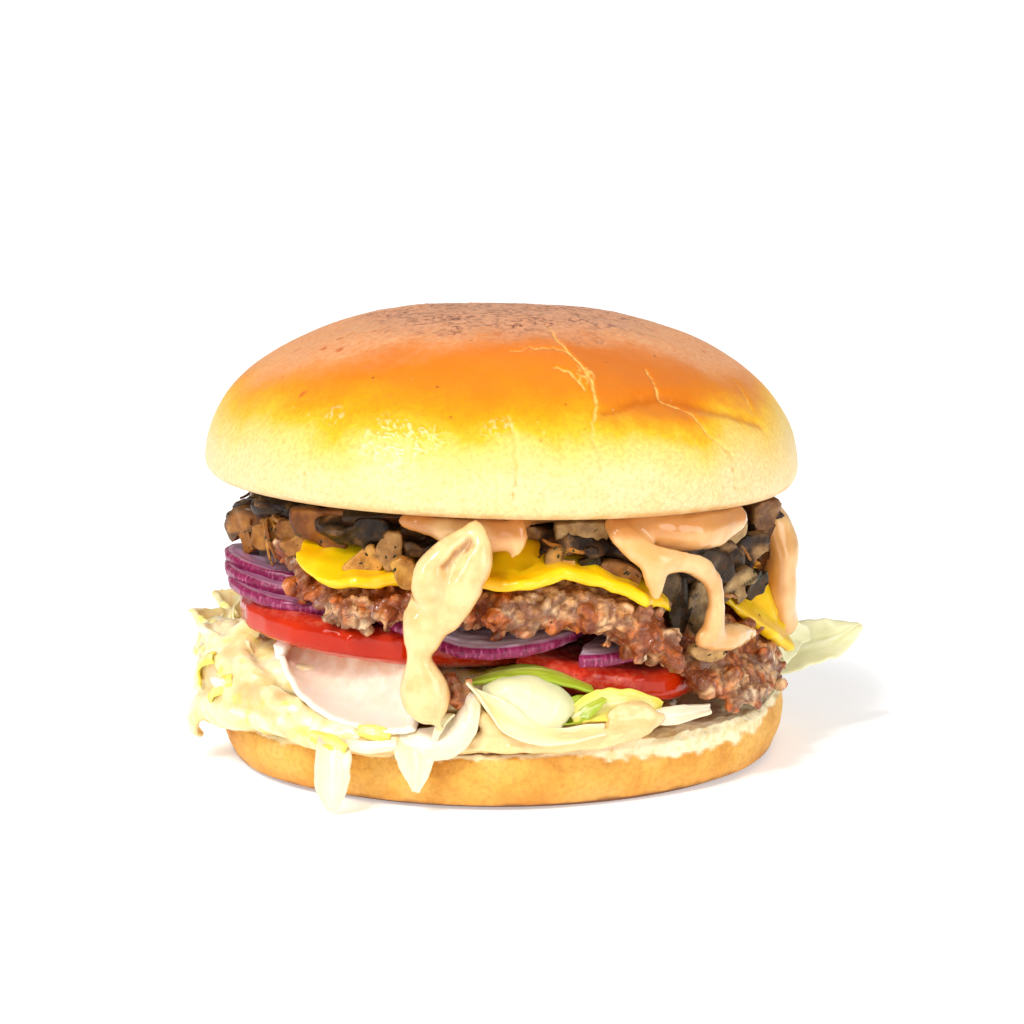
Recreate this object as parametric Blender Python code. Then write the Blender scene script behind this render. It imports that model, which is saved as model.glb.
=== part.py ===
# A mushroom smash burger: soft bun, lettuce, tomato, red onion, beef patty, melted cheese,
# fried mushrooms and a pale sauce. Every layer runs through the burger.
# Sizes and places are in millimetres; add_mesh turns them into metres.
# X runs to the right of the shown side, Y into the depth, Z up from the flat base of the heel.
# Angles are in degrees round Z from +X, so the shown side is at -90.

import math
import random

import bmesh
import bpy
from mathutils import Matrix, Vector, noise
from mathutils.bvhtree import BVHTree

METRE = 0.001
clean_parts = {}                # smooth meshes that a cut piece was made from, by its name
GAP = 0.35                      # air kept between pieces that touch
REST_GAP = 0.45                 # air under a layer that lies on another
FLAT_ANGLE = math.radians(0.6)  # faces that lie in one plane within this are joined after a cut
SHARP_ANGLE = math.radians(50)  # edges bent more than this stay sharp
SWELL_LIMIT = 1.6               # a sharp corner of a cutter moves at most this many times the gap
FAR_OFF = 0.3                   # metres, beyond the burger on every side
SETTLE_PASSES = 14
FACE_SPLITS = 4                 # a face is tested at this many steps along each edge
SEED = 21

# Bun
BUN_SEGMENTS = 36
CROWN_RADIUS = 60.6
CROWN_WIDEST_Z = 59.0
CROWN_RISE = 32.0               # from the widest ring to the top
CROWN_ROUNDNESS = 2.1           # exponent of the dome's profile, 2 is an ellipse
CROWN_RISES = (0, 10, 20, 31, 43, 56, 70, 83)
CROWN_CUT_Z = 56.0              # cut face at the middle
CROWN_CUT_SLOPE = -0.026        # the cut face leans down to the right
CROWN_LEAN_SHARE = 0.6          # how much of that lean the dome has
CROWN_CUT_INSET = 2.6
CROWN_EDGE = 0.8                # how far inside the dome the lip over the cut face lies, and its height
CROWN_LIP = 1.3
CROWN_MIDDLE_RING = 26.0
CROWN_DIP = 0.7                 # the top is flattened by this
CROWN_FOLD = 1.1
CROWN_SWELL = 0.9
HEEL_RADIUS = 58.2
HEEL_HEIGHT = 11.3
HEEL_SLOPE = 0.028              # thicker to the right
HEEL_PROFILE = ((30.0, 0.0), (53.5, 0.0), (56.3, 0.1), (57.6, 0.34), (HEEL_RADIUS, 0.62), (57.9, 0.9))
HEEL_TOP_RINGS = (56.6, 50.0)

# Slices: share of the reach and side of each ring, from the underside to the top
TOMATO_RIM = ((0.5, -1.0), (0.9, -1.0), (0.985, -0.6), (0.985, 0.6), (0.9, 1.0), (0.5, 1.0))
ONION_RIM = ((0.6, -1.0), (0.975, -1.0), (1.0, 0.0), (0.975, 1.0))
ONION_THICKNESS = 1.8
ONION_CARRY = 4.0               # how far round a lifted spot the slice bends with it
ONION_LEVEL = 32.75             # lowest of the fanned slices, at the middle of the burger
ONION_STEP = 2.28               # from one fanned slice to the next

# Beef
PATTY_SEGMENTS = 64
PATTY_SHARES = (0.35, 0.6, 0.79, 0.91, 0.97)
PATTY_MIDDLE_Z = 41.0
PATTY_HALF_THICKNESS = 4.6
PATTY_DROOP = 3.0               # how late the patty bends down to its rim
PATTY_LIFT = 1.3                # and how soon it rises where its rim lies higher
# angle, reach from the middle, height of the rim's middle, half thickness there
PATTY_RIM = [
    (-180, 45, 46.4, 3.2), (-158, 47, 46.0, 3.2), (-147, 51, 45.0, 3.6), (-138, 54.5, 42.8, 4.4),
    (-131, 55.0, 38.4, 5.8), (-123, 57.4, 35.8, 6.0), (-114, 57.4, 35.2, 5.8), (-108, 54, 35.6, 5.6),
    (-100, 53, 37.0, 5.0), (-90, 56, 36.8, 5.4), (-79, 55.6, 37.0, 5.6), (-69, 58.2, 35.8, 6.0),
    (-60, 59.4, 31.4, 6.2), (-53, 57, 27.6, 6.0), (-49, 51.5, 23.0, 5.2), (-43, 60, 18.6, 6.0),
    (-33, 60.5, 18.2, 6.2), (-23, 59.4, 18.8, 6.0), (-8, 56.5, 22.0, 5.4), (12, 55, 27.0, 5.0),
    (35, 57, 32.0, 5.2), (52, 53, 34.0, 4.8), (68, 57, 34.5, 5.2), (84, 57, 36.0, 5.2),
    (98, 52.5, 37.5, 4.8), (112, 56, 37.5, 5.2), (130, 54.5, 39.0, 4.8), (144, 50, 42.0, 4.2),
    (158, 48, 44.6, 3.6),
]

# Cheese: angle, reach, height of the edge; an edge that lies on the beef has no height
CHEESE_SEGMENTS = 46
CHEESE_SHARES = (0.4, 0.75, 0.91, 1.0)
CHEESE_THICKNESS = 2.2
CHEESE_RIM = [
    (-180, 40, None), (-160, 42, None), (-146, 44, None), (-138, 50, None), (-131, 57.0, 43.0),
    (-123, 58.4, 41.2), (-114, 58.2, 41.4), (-108, 53, None), (-101, 51, None), (-95, 58.0, 42.6),
    (-82, 58.0, 41.8), (-75, 56.4, 44.4), (-66, 59.0, 39.8), (-57, 59.8, 37.2), (-51, 50, None),
    (-38, 46, None), (-22, 58.4, 25.5), (-12, 58.6, 22.0), (0, 54, None), (25, 52, None),
    (40, 58.5, 32.0), (54, 54.5, None), (68, 59, 34.0), (82, 59, 35.5), (97, 50, None), (112, 57.5, 38.0),
    (130, 56.5, 38.0), (146, 47, None), (162, 43, None),
]

# Mushroom pieces in front: angle, reach, height, half width, lean, turn, thickness, has a stem
HEAP_SEGMENTS = 32
HEAP_RIM = [
    (-180, 50), (-160, 51.5), (-140, 51), (-115, 50.5), (-90, 48.5), (-65, 50.5), (-45, 50.5),
    (-20, 51.5), (0, 51.5), (30, 50), (60, 50.5), (95, 49.5), (130, 50.5), (155, 50),
]
CORE_PROFILE = ((0.5, 0.0), (0.92, 0.0), (1.0, 1.0), (0.5, 1.0))
CORE_CLEARANCE = 0.9            # over the cheese and under the sauce
CORE_LEAST = 1.5
CAP_STEPS = 6
BACK_MUSHROOMS = 12
BACK_SPANS = ((5.5, 8.0), (0.1, 0.8), (-1.2, 1.2), (3.0, 3.8))   # half width, lean, turn, thickness
FACING_SHARE = 0.45             # how far the pieces in front turn outwards from the shown side
NUDGE_LIMIT = 3.0               # furthest that a piece is shifted to clear its neighbours
SHOWN_MUSHROOMS = [
    (-168, 52.0, 46.8, 8.5, 0.5, 0.4, 4.0, True), (-150, 49.5, 51.0, 6.5, 0.9, -0.6, 3.4, False),
    (-140, 50.0, 50.0, 7.0, 0.4, 0.9, 3.6, False), (-117, 51.4, 48.4, 5.8, 0.15, -0.5, 3.4, True),
    (-106, 50.0, 47.4, 5.5, 0.2, 2.4, 3.2, True), (-97, 47.5, 51.0, 6.5, 0.9, 0.1, 3.2, False),
    (-76, 50.4, 46.8, 6.0, 0.2, 2.9, 3.4, True), (-64, 50.4, 45.2, 7.6, 0.35, -0.6, 3.6, False),
    (-57, 51.0, 43.5, 6.8, 0.3, 0.9, 3.4, True), (-50, 50.8, 40.5, 7.5, 0.2, 0.4, 3.6, False),
    (-43, 51.2, 38.2, 6.8, 0.2, -0.3, 3.4, True), (-40, 48.5, 46.0, 6.5, 0.3, 1.4, 3.6, False),
    (-20, 52.0, 39.6, 7.2, 0.25, 0.2, 3.6, True), (-30, 50.5, 42.5, 6.8, 0.4, -0.7, 3.6, False),
    (-10, 53.0, 46.0, 7.4, 0.35, 0.6, 4.2, True), (-4, 53.0, 41.0, 6.8, 0.3, -0.5, 3.8, False),
]
SHOWN_CAPS = ((-127, 47.5, 50.5, 8.5), (-71, 47.5, 51.2, 7.5))

# Sauce: angle and reach of the thin spread under the crown
SAUCE_SEGMENTS = 36
UPPER_SPREAD = 1.8              # thickness of the spread
SPREAD_PROFILE = ((0.6, -1), (0.94, -1), (1.0, 0), (0.94, 1), (0.6, 1))
UPPER_SAUCE_RIM = [
    (-180, 44), (-140, 44), (-112, 47), (-104, 54), (-92, 56), (-82, 54), (-74, 46), (-68, 52), (-60, 56),
    (-48, 56), (-36, 55), (-28, 50), (-14, 50), (0, 52), (30, 47), (60, 52), (90, 46), (120, 52),
    (150, 45),
]
# Drips: places along the run, half widths, half depths, and the way the run faces if not outwards
SAUCE_RUNS = [
    ([(-14, -51, 53.6), (-5, -53, 52.6), (4, -53.5, 53.4)], [2.6, 3.8, 2.6], [2.4, 2.6, 2.2], (0, -0.3, 1)),
    ([(-6.5, -55.5, 53.2), (-7.5, -59.5, 50.5), (-9.5, -61.2, 43.5), (-12.5, -61.3, 36.0),
      (-14.8, -60.8, 30.6),
      (-13.8, -60.6, 25.5), (-13.3, -60.6, 21.8)],
     [4.4, 5.8, 5.6, 4.4, 2.7, 4.6, 4.2], [2.6, 3.2, 3.4, 2.9, 2.3, 3.5, 3.0], None),
    ([(-13.5, -58.5, 50.5), (-15.2, -59.0, 45.0), (-15.6, -59.4, 38.0)],
     [2.4, 3.6, 2.4], [2.2, 2.8, 2.2], None),
    ([(22, -48.5, 53.0), (31, -46.5, 51.6), (39, -41.5, 50.6), (45.5, -34.0, 51.4)],
     [2.2, 3.4, 3.8, 2.4], [3.0, 4.2, 4.4, 3.0], (0, -0.3, 1)),
    ([(20.5, -51.5, 53.4), (23.5, -53.6, 50.0), (28.5, -54.3, 46.8), (29.6, -54.0, 42.4)],
     [2.4, 2.9, 3.2, 2.0], [2.0, 2.3, 2.3, 1.8], None),
    ([(28.5, -54.2, 47.6), (34.5, -51.3, 47.2), (39.0, -47.6, 44.6), (41.2, -44.4, 39.8),
      (40.4, -45.0, 34.5),
      (41.8, -43.0, 30.4)],
     [2.6, 2.9, 3.2, 3.2, 3.2, 3.4], [2.2, 2.4, 2.6, 2.5, 2.3, 2.3], None),
    ([(40.5, -43.4, 31.0), (45.5, -37.4, 30.2), (50.0, -29.5, 29.2)],
     [3.2, 4.4, 2.8], [2.1, 2.3, 2.0], (0, 0, 1)),
    ([(45.0, 2.0, 53.4), (51.0, 1.0, 50.4), (55.2, -0.5, 45.0), (57.0, -1.0, 38.5), (57.0, -1.0, 31.5),
      (58.2, -1.0, 26.5)],
     [5.0, 5.8, 6.4, 5.8, 6.0, 4.4], [2.2, 3.0, 3.8, 3.4, 3.6, 2.6], None),
    ([(26.5, 48.0, 53.2), (28.5, 52.5, 49.0), (29.5, 55.5, 42.0), (29.0, 55.8, 37.0)],
     [4.0, 4.6, 3.6, 3.8], [2.4, 3.0, 2.5, 2.7], None),
    ([(-24.0, 46.0, 53.8), (-26.0, 50.0, 50.0), (-27.5, 53.0, 45.0)],
     [4.0, 4.4, 3.0], [2.4, 2.9, 2.3], None),
]
POOL_FLOOR = 1.2                # above the heel's torn face
POOL_FILM = 0.8                 # thickness under the lettuce
POOL_PROFILE = ((0.5, 0.0), (0.8, 0.0), (0.94, 0.0), (1.0, 0.35), (0.98, 0.75), (0.94, 1.0), (0.87, 1.0),
                (0.7, 1.0), (0.4, 1.0))
# Pool on the heel: angle, reach, extra thickness
POOL_RIM = [
    (-180, 44, 0), (-150, 50, 0), (-125, 54, 0.8), (-108, 56.5, 1.6), (-95, 58.2, 3.0), (-82, 58.6, 3.6),
    (-68, 59.0, 3.2), (-56, 57.0, 2.6), (-44, 48, 1.0), (-24, 40, 0.6), (0, 42, 0.6), (30, 49, 0.6),
    (60, 56, 1.4), (90, 57, 1.8), (125, 54, 1.0), (155, 48, 0),
]

# Lettuce: angle, reach and height of the bed's rim
BED_CLEARANCE = 2.7
BED_MARGIN = 1.5                # from the bed's rim to where the pool starts to thicken
BED_MIDDLE_Z = 22.5
BED_PROFILE = ((0.5, 0.0), (0.9, 0.05), (1.0, 0.4), (0.97, 0.72), (0.84, 1.0), (0.45, 1.0))
BED_RIM = [
    (-180, 60, 25), (-165, 61, 26), (-150, 59, 27), (-138, 56, 27), (-125, 51, 25), (-110, 49, 24),
    (-90, 49, 23), (-72, 46, 18.5), (-55, 40, 17), (-35, 34, 17), (-10, 35, 17.5), (10, 42, 18.5),
    (35, 49, 19), (60, 51, 20), (90, 52, 22), (120, 51, 24), (150, 53, 25),
]
LEAF_STEPS = 2
HEAP_SHREDS = 12
HEAP_FLAPS = (
    ("flap", [(-54, -18, 17), (-61, -17, 13), (-62.4, -16, 7.5), (-60.6, -15.5, 4.6)], [4.0, 5.4, 4.6, 1.2],
     (-0.2, 1, 0)),
    ("spur", [(52, 6, 16), (60, 8, 20), (66, 10, 22)], [5, 4.4, 1.2], (0, 0.7, 0.7)),
)
# Leaves: name, places along the spine, half widths, direction across, cupping, ruffle, waves, strips across
LEAVES = [
    ("leaf_cup", [(-43, -41, 26), (-37.5, -48, 22), (-28, -52.5, 20), (-17, -53.5, 19.5)],
     [2.5, 6.6, 6.4, 4.4], (0.1, 0.42, 0.9), 0.35, 0.4, 2.0, 5),
    ("leaf_hanging", [(-31, -50.5, 14.0), (-31.0, -57.5, 11.6), (-31.3, -60.2, 6.0), (-31.4, -59.2, 0.8)],
     [3.4, 3.6, 3.4, 0.6], (1, 0.1, 0), 0.15, 0.3, 2.0, 2),
    ("leaf_tip", [(-15.6, -54, 13.8), (-15.6, -59.3, 12.4), (-15.5, -60.6, 8.4), (-15.6, -60.2, 4.8)],
     [4.2, 3.8, 2.6, 0.7], (1, 0, 0), 0.1, 0.3, 1.6, 2),
    ("leaf_curl", [(-22.5, -57.5, 13.5), (-13.5, -60.3, 14.0), (-6.5, -58.8, 17.5), (-3.6, -55.5, 21.5)],
     [1.6, 3.0, 3.2, 0.9], (0.1, 0.35, 0.9), 0.3, 0.3, 1.5, 3),
    ("leaf_green", [(-6.5, -51.5, 23.4), (0, -51.8, 25.6), (8, -51.6, 25.8), (17.5, -49.5, 22.2)],
     [3.6, 4.6, 4.6, 3.0], (0, 1, 0.05), -0.1, 0.3, 2.0, 3),
    ("leaf_shell", [(-3.0, -53.5, 21.4), (4.5, -56.6, 20.6), (10.5, -57.2, 19.8), (14.5, -54.5, 19.6)],
     [1.6, 3.4, 3.8, 2.4], (0.1, 0.25, 0.95), -0.5, 0.25, 1.5, 4),
    ("leaf_pale", [(13.5, -55.5, 17.0), (19.5, -53.5, 19.0), (26.0, -50.5, 18.6), (31.0, -46.5, 17.4)],
     [2.0, 3.0, 2.6, 1.4], (0.1, 0.5, 0.85), 0.2, 0.5, 2.5, 3),
    ("leaf_right", [(27.5, -50.0, 16.4), (33.5, -47.2, 16.2), (40.0, -43.0, 16.4)], [1.6, 2.0, 1.2],
     (0.2, 0.6, 0.75), 0.2, 0.4, 2.0, 2),
    ("leaf_far_right", [(50, -3, 17.5), (60, 1, 19.0), (69, 4.5, 20.5), (76, 7.5, 23.2)],
     [5.0, 5.6, 4.2, 0.7], (0.0, 0.62, 0.8), 0.2, 0.45, 2.0, 3),
    ("leaf_back_1", [(40, 40, 15), (30, 49, 18), (18, 57, 16), (8, 60, 12)], [2.0, 6.0, 5.0, 1.0],
     (0.1, -0.42, 0.9), -0.3, 0.6, 2.5, 3),
    ("leaf_back_2", [(4, 55, 20), (-8, 57, 18), (-20, 55, 17), (-30, 51, 20)], [2.0, 5.4, 5.0, 1.6],
     (0, -0.42, 0.9), -0.3, 0.6, 2.5, 3),
    ("leaf_back_3", [(-34, 46, 22), (-43, 42, 17), (-52, 36, 14), (-58, 28, 16)], [2.0, 5.6, 5.2, 1.4],
     (0.1, -0.42, 0.9), -0.3, 0.6, 2.5, 3),
]


def stations(table, column, angle):
    # smooth value round the burger through a table whose first column is the angle
    count = len(table)
    turn = (angle + 180.0) % 360.0 - 180.0
    index = max(i for i in range(count) if table[i][0] <= turn + 1e-9)
    start = table[index][0]
    end = table[(index + 1) % count][0]
    if index == count - 1:
        end += 360.0
    part = (turn - start) / (end - start)
    before, first, second, after = (table[(index + k) % count][column] for k in (-1, 0, 1, 2))
    tangent_in = (second - before) / 2.0
    tangent_out = (after - first) / 2.0
    square = part * part
    cube = square * part
    return ((2 * cube - 3 * square + 1) * first + (cube - 2 * square + part) * tangent_in
            + (3 * square - 2 * cube) * second + (cube - square) * tangent_out)


def lobe(angle, centre, half_width):
    # 1 at the centre angle, easing to 0 at the half width
    away = abs((angle - centre + 180.0) % 360.0 - 180.0)
    return 0.5 + 0.5 * math.cos(math.pi * min(away / half_width, 1.0))


def ease(value):
    value = min(max(value, 0.0), 1.0)
    return value * value * (3.0 - 2.0 * value)


def rough(point, scale, seed):
    # smooth noise between about -1 and 1
    return noise.noise(Vector(point) / scale + Vector((seed * 3.7, seed * 1.9, seed * 5.3)))


def on_circle(radius, angle, z):
    turn = math.radians(angle)
    return Vector((radius * math.cos(turn), radius * math.sin(turn), z))


def material(name, colour, roughness):
    shade = bpy.data.materials.get(name)
    if shade is None:
        shade = bpy.data.materials.new(name)
        shade.use_nodes = True
        shader = shade.node_tree.nodes["Principled BSDF"]
        shader.inputs["Base Color"].default_value = (*colour, 1.0)
        shader.inputs["Roughness"].default_value = roughness
        shader.inputs["Metallic"].default_value = 0.0
        shade.diffuse_color = (*colour, 1.0)
    return shade


def toasted():
    return material("bun", (0.78, 0.45, 0.17), 0.45)


def minced():
    return material("beef", (0.20, 0.10, 0.075), 0.5)


def melted():
    return material("cheese", (0.95, 0.50, 0.03), 0.3)


def fried():
    return material("mushroom", (0.28, 0.20, 0.12), 0.45)


def creamy():
    return material("sauce", (0.86, 0.66, 0.45), 0.25)


def purple():
    return material("onion", (0.42, 0.15, 0.30), 0.3)


def ripe():
    return material("tomato", (0.78, 0.08, 0.03), 0.25)


def leafy():
    return material("lettuce", (0.84, 0.86, 0.58), 0.4)


def add_mesh(name, mesh_in_mm, shade):
    # takes a bmesh in millimetres and makes the named object, smooth over its round parts
    bmesh.ops.recalc_face_normals(mesh_in_mm, faces=mesh_in_mm.faces)
    bmesh.ops.scale(mesh_in_mm, vec=(METRE, METRE, METRE), verts=mesh_in_mm.verts)
    mesh = bpy.data.meshes.new(name)
    mesh_in_mm.to_mesh(mesh)
    mesh_in_mm.free()
    mesh.shade_smooth()
    mesh.set_sharp_from_angle(angle=SHARP_ANGLE)
    mesh.materials.append(shade)
    piece = bpy.data.objects.new(name, mesh)
    bpy.context.scene.collection.objects.link(piece)
    return piece


def ring_body(name, rings, bottom, top, shade):
    # closed body of rings that run from the bottom point, round the rim, to the top point
    shape = bmesh.new()
    loops = []
    for ring in rings:
        loops.append([shape.verts.new(point) for point in ring])
    for lower, upper in zip(loops, loops[1:]):
        for i in range(len(lower)):
            following = (i + 1) % len(lower)
            shape.faces.new((lower[i], lower[following], upper[following], upper[i]))
    for loop, point, turn in ((loops[0], bottom, -1), (loops[-1], top, 1)):
        pole = shape.verts.new(point)
        for i in range(len(loop)):
            shape.faces.new((loop[i], loop[(i + turn) % len(loop)], pole))
    bmesh.ops.triangulate(shape, faces=[face for face in shape.faces if len(face.verts) > 3])
    return add_mesh(name, shape, shade)


def tube(name, path, widths, depths, shade, sides=8, outward=None):
    # closed strand along a path; width lies across the path, depth along the outward direction
    rings = []
    count = len(path)
    for i, middle in enumerate(path):
        along = (path[min(i + 1, count - 1)] - path[max(i - 1, 0)]).normalized()
        out = outward or Vector((middle.x, middle.y, 0.0)).normalized()
        side = along.cross(out)
        if side.length < 0.2:
            side = along.cross(Vector((0.0, 0.0, 1.0)))
        side.normalize()
        out = side.cross(along).normalized()
        ring = []
        for k in range(sides):
            turn = 2.0 * math.pi * k / sides
            ring.append(middle + side * (widths[i] * math.cos(turn)) + out * (depths[i] * math.sin(turn)))
        rings.append(ring)
    first = path[0] - (path[1] - path[0]).normalized() * min(depths[0], widths[0]) * 0.7
    last = path[-1] + (path[-1] - path[-2]).normalized() * min(depths[-1], widths[-1]) * 0.7
    return ring_body(name, rings, first, last, shade)


def smooth_path(points, steps):
    # even run of points on a smooth curve through the given ones
    path = []
    count = len(points)
    for i in range(count - 1):
        before = points[max(i - 1, 0)]
        after = points[min(i + 2, count - 1)]
        for k in range(steps):
            t = k / steps
            tangent_in = (points[i + 1] - before) / 2.0
            tangent_out = (after - points[i]) / 2.0
            path.append(points[i] * (2 * t ** 3 - 3 * t ** 2 + 1) + tangent_in * (t ** 3 - 2 * t ** 2 + t)
                        + points[i + 1] * (3 * t ** 2 - 2 * t ** 3) + tangent_out * (t ** 3 - t ** 2))
    path.append(points[-1].copy())
    return path


def spread(values, count):
    # reads a short list of sizes as a smooth run of count values
    run = []
    for i in range(count):
        place = i * (len(values) - 1) / (count - 1)
        low = min(int(place), len(values) - 2)
        run.append(values[low] + (values[low + 1] - values[low]) * ease(place - low))
    return run


def strand(name, points, widths, depths, shade, steps=3, sides=8, outward=None):
    path = smooth_path([Vector(point) for point in points], steps)
    return tube(name, path, spread(widths, len(path)), spread(depths, len(path)), shade, sides, outward)


def islands_of(shape):
    # the corners of each separate body in a mesh
    unseen = set(shape.verts)
    islands = []
    while unseen:
        stack = [unseen.pop()]
        island = set(stack)
        while stack:
            for edge in stack.pop().link_edges:
                for corner in edge.verts:
                    if corner not in island:
                        island.add(corner)
                        stack.append(corner)
        unseen -= island
        islands.append(island)
    return islands


def bake(piece):
    # applies the modifiers and keeps the largest body, without the scraps that a cut leaves
    graph = bpy.context.evaluated_depsgraph_get()
    mesh = bpy.data.meshes.new_from_object(piece.evaluated_get(graph))
    shape = bmesh.new()
    shape.from_mesh(mesh)
    islands = islands_of(shape)
    if len(islands) > 1:
        keep = max(islands, key=len)
        scraps = [corner for corner in shape.verts if corner not in keep]
        bmesh.ops.delete(shape, geom=scraps, context="VERTS")
    bmesh.ops.dissolve_limit(shape, angle_limit=FLAT_ANGLE, verts=shape.verts, edges=shape.edges)
    bmesh.ops.triangulate(shape, faces=shape.faces)
    shape.to_mesh(mesh)
    shape.free()
    piece.modifiers.clear()
    piece.data = mesh
    mesh.shade_smooth()
    mesh.set_sharp_from_angle(angle=SHARP_ANGLE)


def is_closed(mesh):
    shape = bmesh.new()
    shape.from_mesh(mesh)
    closed = len(shape.faces) > 0 and all(edge.is_manifold for edge in shape.edges)
    closed = closed and shape.calc_volume() > 0.0
    shape.free()
    return closed


def apply_boolean(piece, operation, others):
    # one cut or union with all the others; EXACT first, MANIFOLD where that leaves an open mesh
    group = bpy.data.collections.new(piece.name + "_others")
    bpy.context.scene.collection.children.link(group)
    for other in others:
        bpy.context.scene.collection.objects.unlink(other)
        group.objects.link(other)
    before = piece.data
    for solver in ("EXACT", "MANIFOLD"):
        join = piece.modifiers.new("join", "BOOLEAN")
        join.operation = operation
        join.solver = solver
        join.operand_type = "COLLECTION"
        join.collection = group
        bake(piece)
        if is_closed(piece.data):
            break
        piece.data = before
    for other in others:
        bpy.data.objects.remove(other)
    bpy.data.collections.remove(group)


def remember(piece, parts):
    # keeps the smooth shapes that a piece starts from, to cut its neighbours with
    if piece.name not in clean_parts:
        clean_parts[piece.name] = [part.data.copy() for part in parts]


def fuse(body, pieces):
    # one union of the body with all its pieces
    remember(body, [body] + pieces)
    apply_boolean(body, "UNION", pieces)
    return body


def swollen(mesh, amount):
    # the mesh's places and faces, larger by the amount all over
    shape = bmesh.new()
    shape.from_mesh(mesh)
    shape.normal_update()
    places = []
    for corner in shape.verts:
        places.append(corner.co + corner.normal * min(corner.calc_shell_factor(), SWELL_LIMIT) * amount)
    faces = [[corner.index for corner in face.verts] for face in shape.faces]
    shape.free()
    return places, faces


def tree_of(piece, swell=0.0):
    return BVHTree.FromPolygons(*swollen(piece.data, swell))


def cutter_of(mesh, amount):
    places, faces = swollen(mesh, amount)
    copy = bpy.data.meshes.new("cutter")
    copy.from_pydata(places, [], faces)
    cutter = bpy.data.objects.new("cutter", copy)
    bpy.context.scene.collection.objects.link(cutter)
    return cutter


def meets(piece, meshes, gap):
    own = tree_of(piece)
    return [mesh for mesh in meshes if own.overlap(BVHTree.FromPolygons(*swollen(mesh, gap)))]


def make_room(piece, neighbours):
    # cuts the piece back by the gap from each neighbour that it would touch
    remember(piece, [piece])
    for other in neighbours:
        touching = meets(piece, clean_parts.get(other.name, [other.data]), GAP * METRE * 0.7)
        if touching:
            apply_boolean(piece, "DIFFERENCE", [cutter_of(mesh, GAP * METRE) for mesh in touching])
    return piece


def settle(piece, others, side, gap, carry):
    # moves the piece's corners up (side 1) or down (side -1) until all its faces clear the others;
    # carry is how far round a moved corner the thin piece moves with it
    trees = [tree_of(other) for other in others]
    ray = Vector((0.0, 0.0, -side))
    mesh = piece.data
    steps = range(FACE_SPLITS + 1)
    shares = [(i / FACE_SPLITS, j / FACE_SPLITS) for i in steps for j in steps if i + j <= FACE_SPLITS]
    for _ in range(SETTLE_PASSES):
        moves = {}
        for face in mesh.polygons:
            corners = [mesh.vertices[index] for index in face.vertices]
            for first, second in shares:
                weights = (first, second, 1.0 - first - second)
                spot = sum((corner.co * weight for corner, weight in zip(corners, weights)), Vector())
                need = 0.0
                for tree in trees:
                    hit = tree.ray_cast(Vector((spot.x, spot.y, FAR_OFF * side)), ray)[0]
                    if hit is not None:
                        need = max(need, (hit.z - spot.z) * side + gap * METRE)
                if need > 1e-6:
                    for corner, weight in zip(corners, weights):
                        if weight >= 1.0 / FACE_SPLITS:
                            moves[corner.index] = max(moves.get(corner.index, 0.0), need)
        if not moves:
            break
        if carry > 0.0:
            moved = [(mesh.vertices[index].co.copy(), move) for index, move in moves.items()]
            for corner in mesh.vertices:
                near = [move for place, move in moved if (place - corner.co).xy.length < carry * METRE]
                if near:
                    moves[corner.index] = max(near)
        for index, move in moves.items():
            mesh.vertices[index].co.z += move * side
    mesh.update()
    return piece


def lay_on(piece, below, gap=REST_GAP, carry=0.0):
    return settle(piece, below, 1.0, gap, carry)


def press_under(piece, above, gap=REST_GAP, carry=0.0):
    return settle(piece, above, -1.0, gap, carry)


# Bun

def cut_face_z(x):
    return CROWN_CUT_Z + CROWN_CUT_SLOPE * x


def crown_relief(angle, rise):
    # how far the crust stands out: soft wobble, a fold low at the right with a swell under it
    wobble = 0.5 * math.sin(math.radians(3 * angle + 40)) + 0.35 * math.sin(math.radians(5 * angle))
    fold = lobe(angle, -58, 42) * lobe(rise, 27, 10)
    swell = lobe(angle, -55, 46) * lobe(rise, 12, 14)
    shoulder = lobe(angle, -40, 30) * lobe(rise, 62, 16)
    flattened = lobe(rise, 90, 22)
    bumps = CROWN_SWELL * (swell + shoulder) - CROWN_FOLD * fold - CROWN_DIP * flattened
    return wobble * math.cos(math.radians(rise)) + bumps


def even_angles(count):
    return [-180.0 + 360.0 * i / count for i in range(count)]


def bun_crown():
    rings = []
    lip = ((CROWN_MIDDLE_RING, 0.0), (CROWN_RADIUS - CROWN_CUT_INSET, 0.0),
           (CROWN_RADIUS - CROWN_EDGE, CROWN_LIP))
    for radius, height in lip:
        ring = []
        for angle in even_angles(BUN_SEGMENTS):
            place = on_circle(radius, angle, 0.0)
            place.z = cut_face_z(place.x) + height
            ring.append(place)
        rings.append(ring)
    power = 2.0 / CROWN_ROUNDNESS
    for rise in CROWN_RISES:
        ring = []
        turn = math.radians(rise)
        for angle in even_angles(BUN_SEGMENTS):
            out = crown_relief(angle, rise)
            radius = CROWN_RADIUS * math.cos(turn) ** power + out * math.cos(turn)
            z = CROWN_WIDEST_Z + CROWN_RISE * math.sin(turn) ** power + out * math.sin(turn)
            place = on_circle(radius, angle, z)
            place.z += CROWN_CUT_SLOPE * place.x * CROWN_LEAN_SHARE
            ring.append(place)
        rings.append(ring)
    top = Vector((0.0, 0.0, CROWN_WIDEST_Z + CROWN_RISE - CROWN_DIP))
    return ring_body("bun_crown", rings, Vector((0.0, 0.0, CROWN_CUT_Z)), top, toasted())


def heel_top_z(x):
    return HEEL_HEIGHT + HEEL_SLOPE * x


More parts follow.
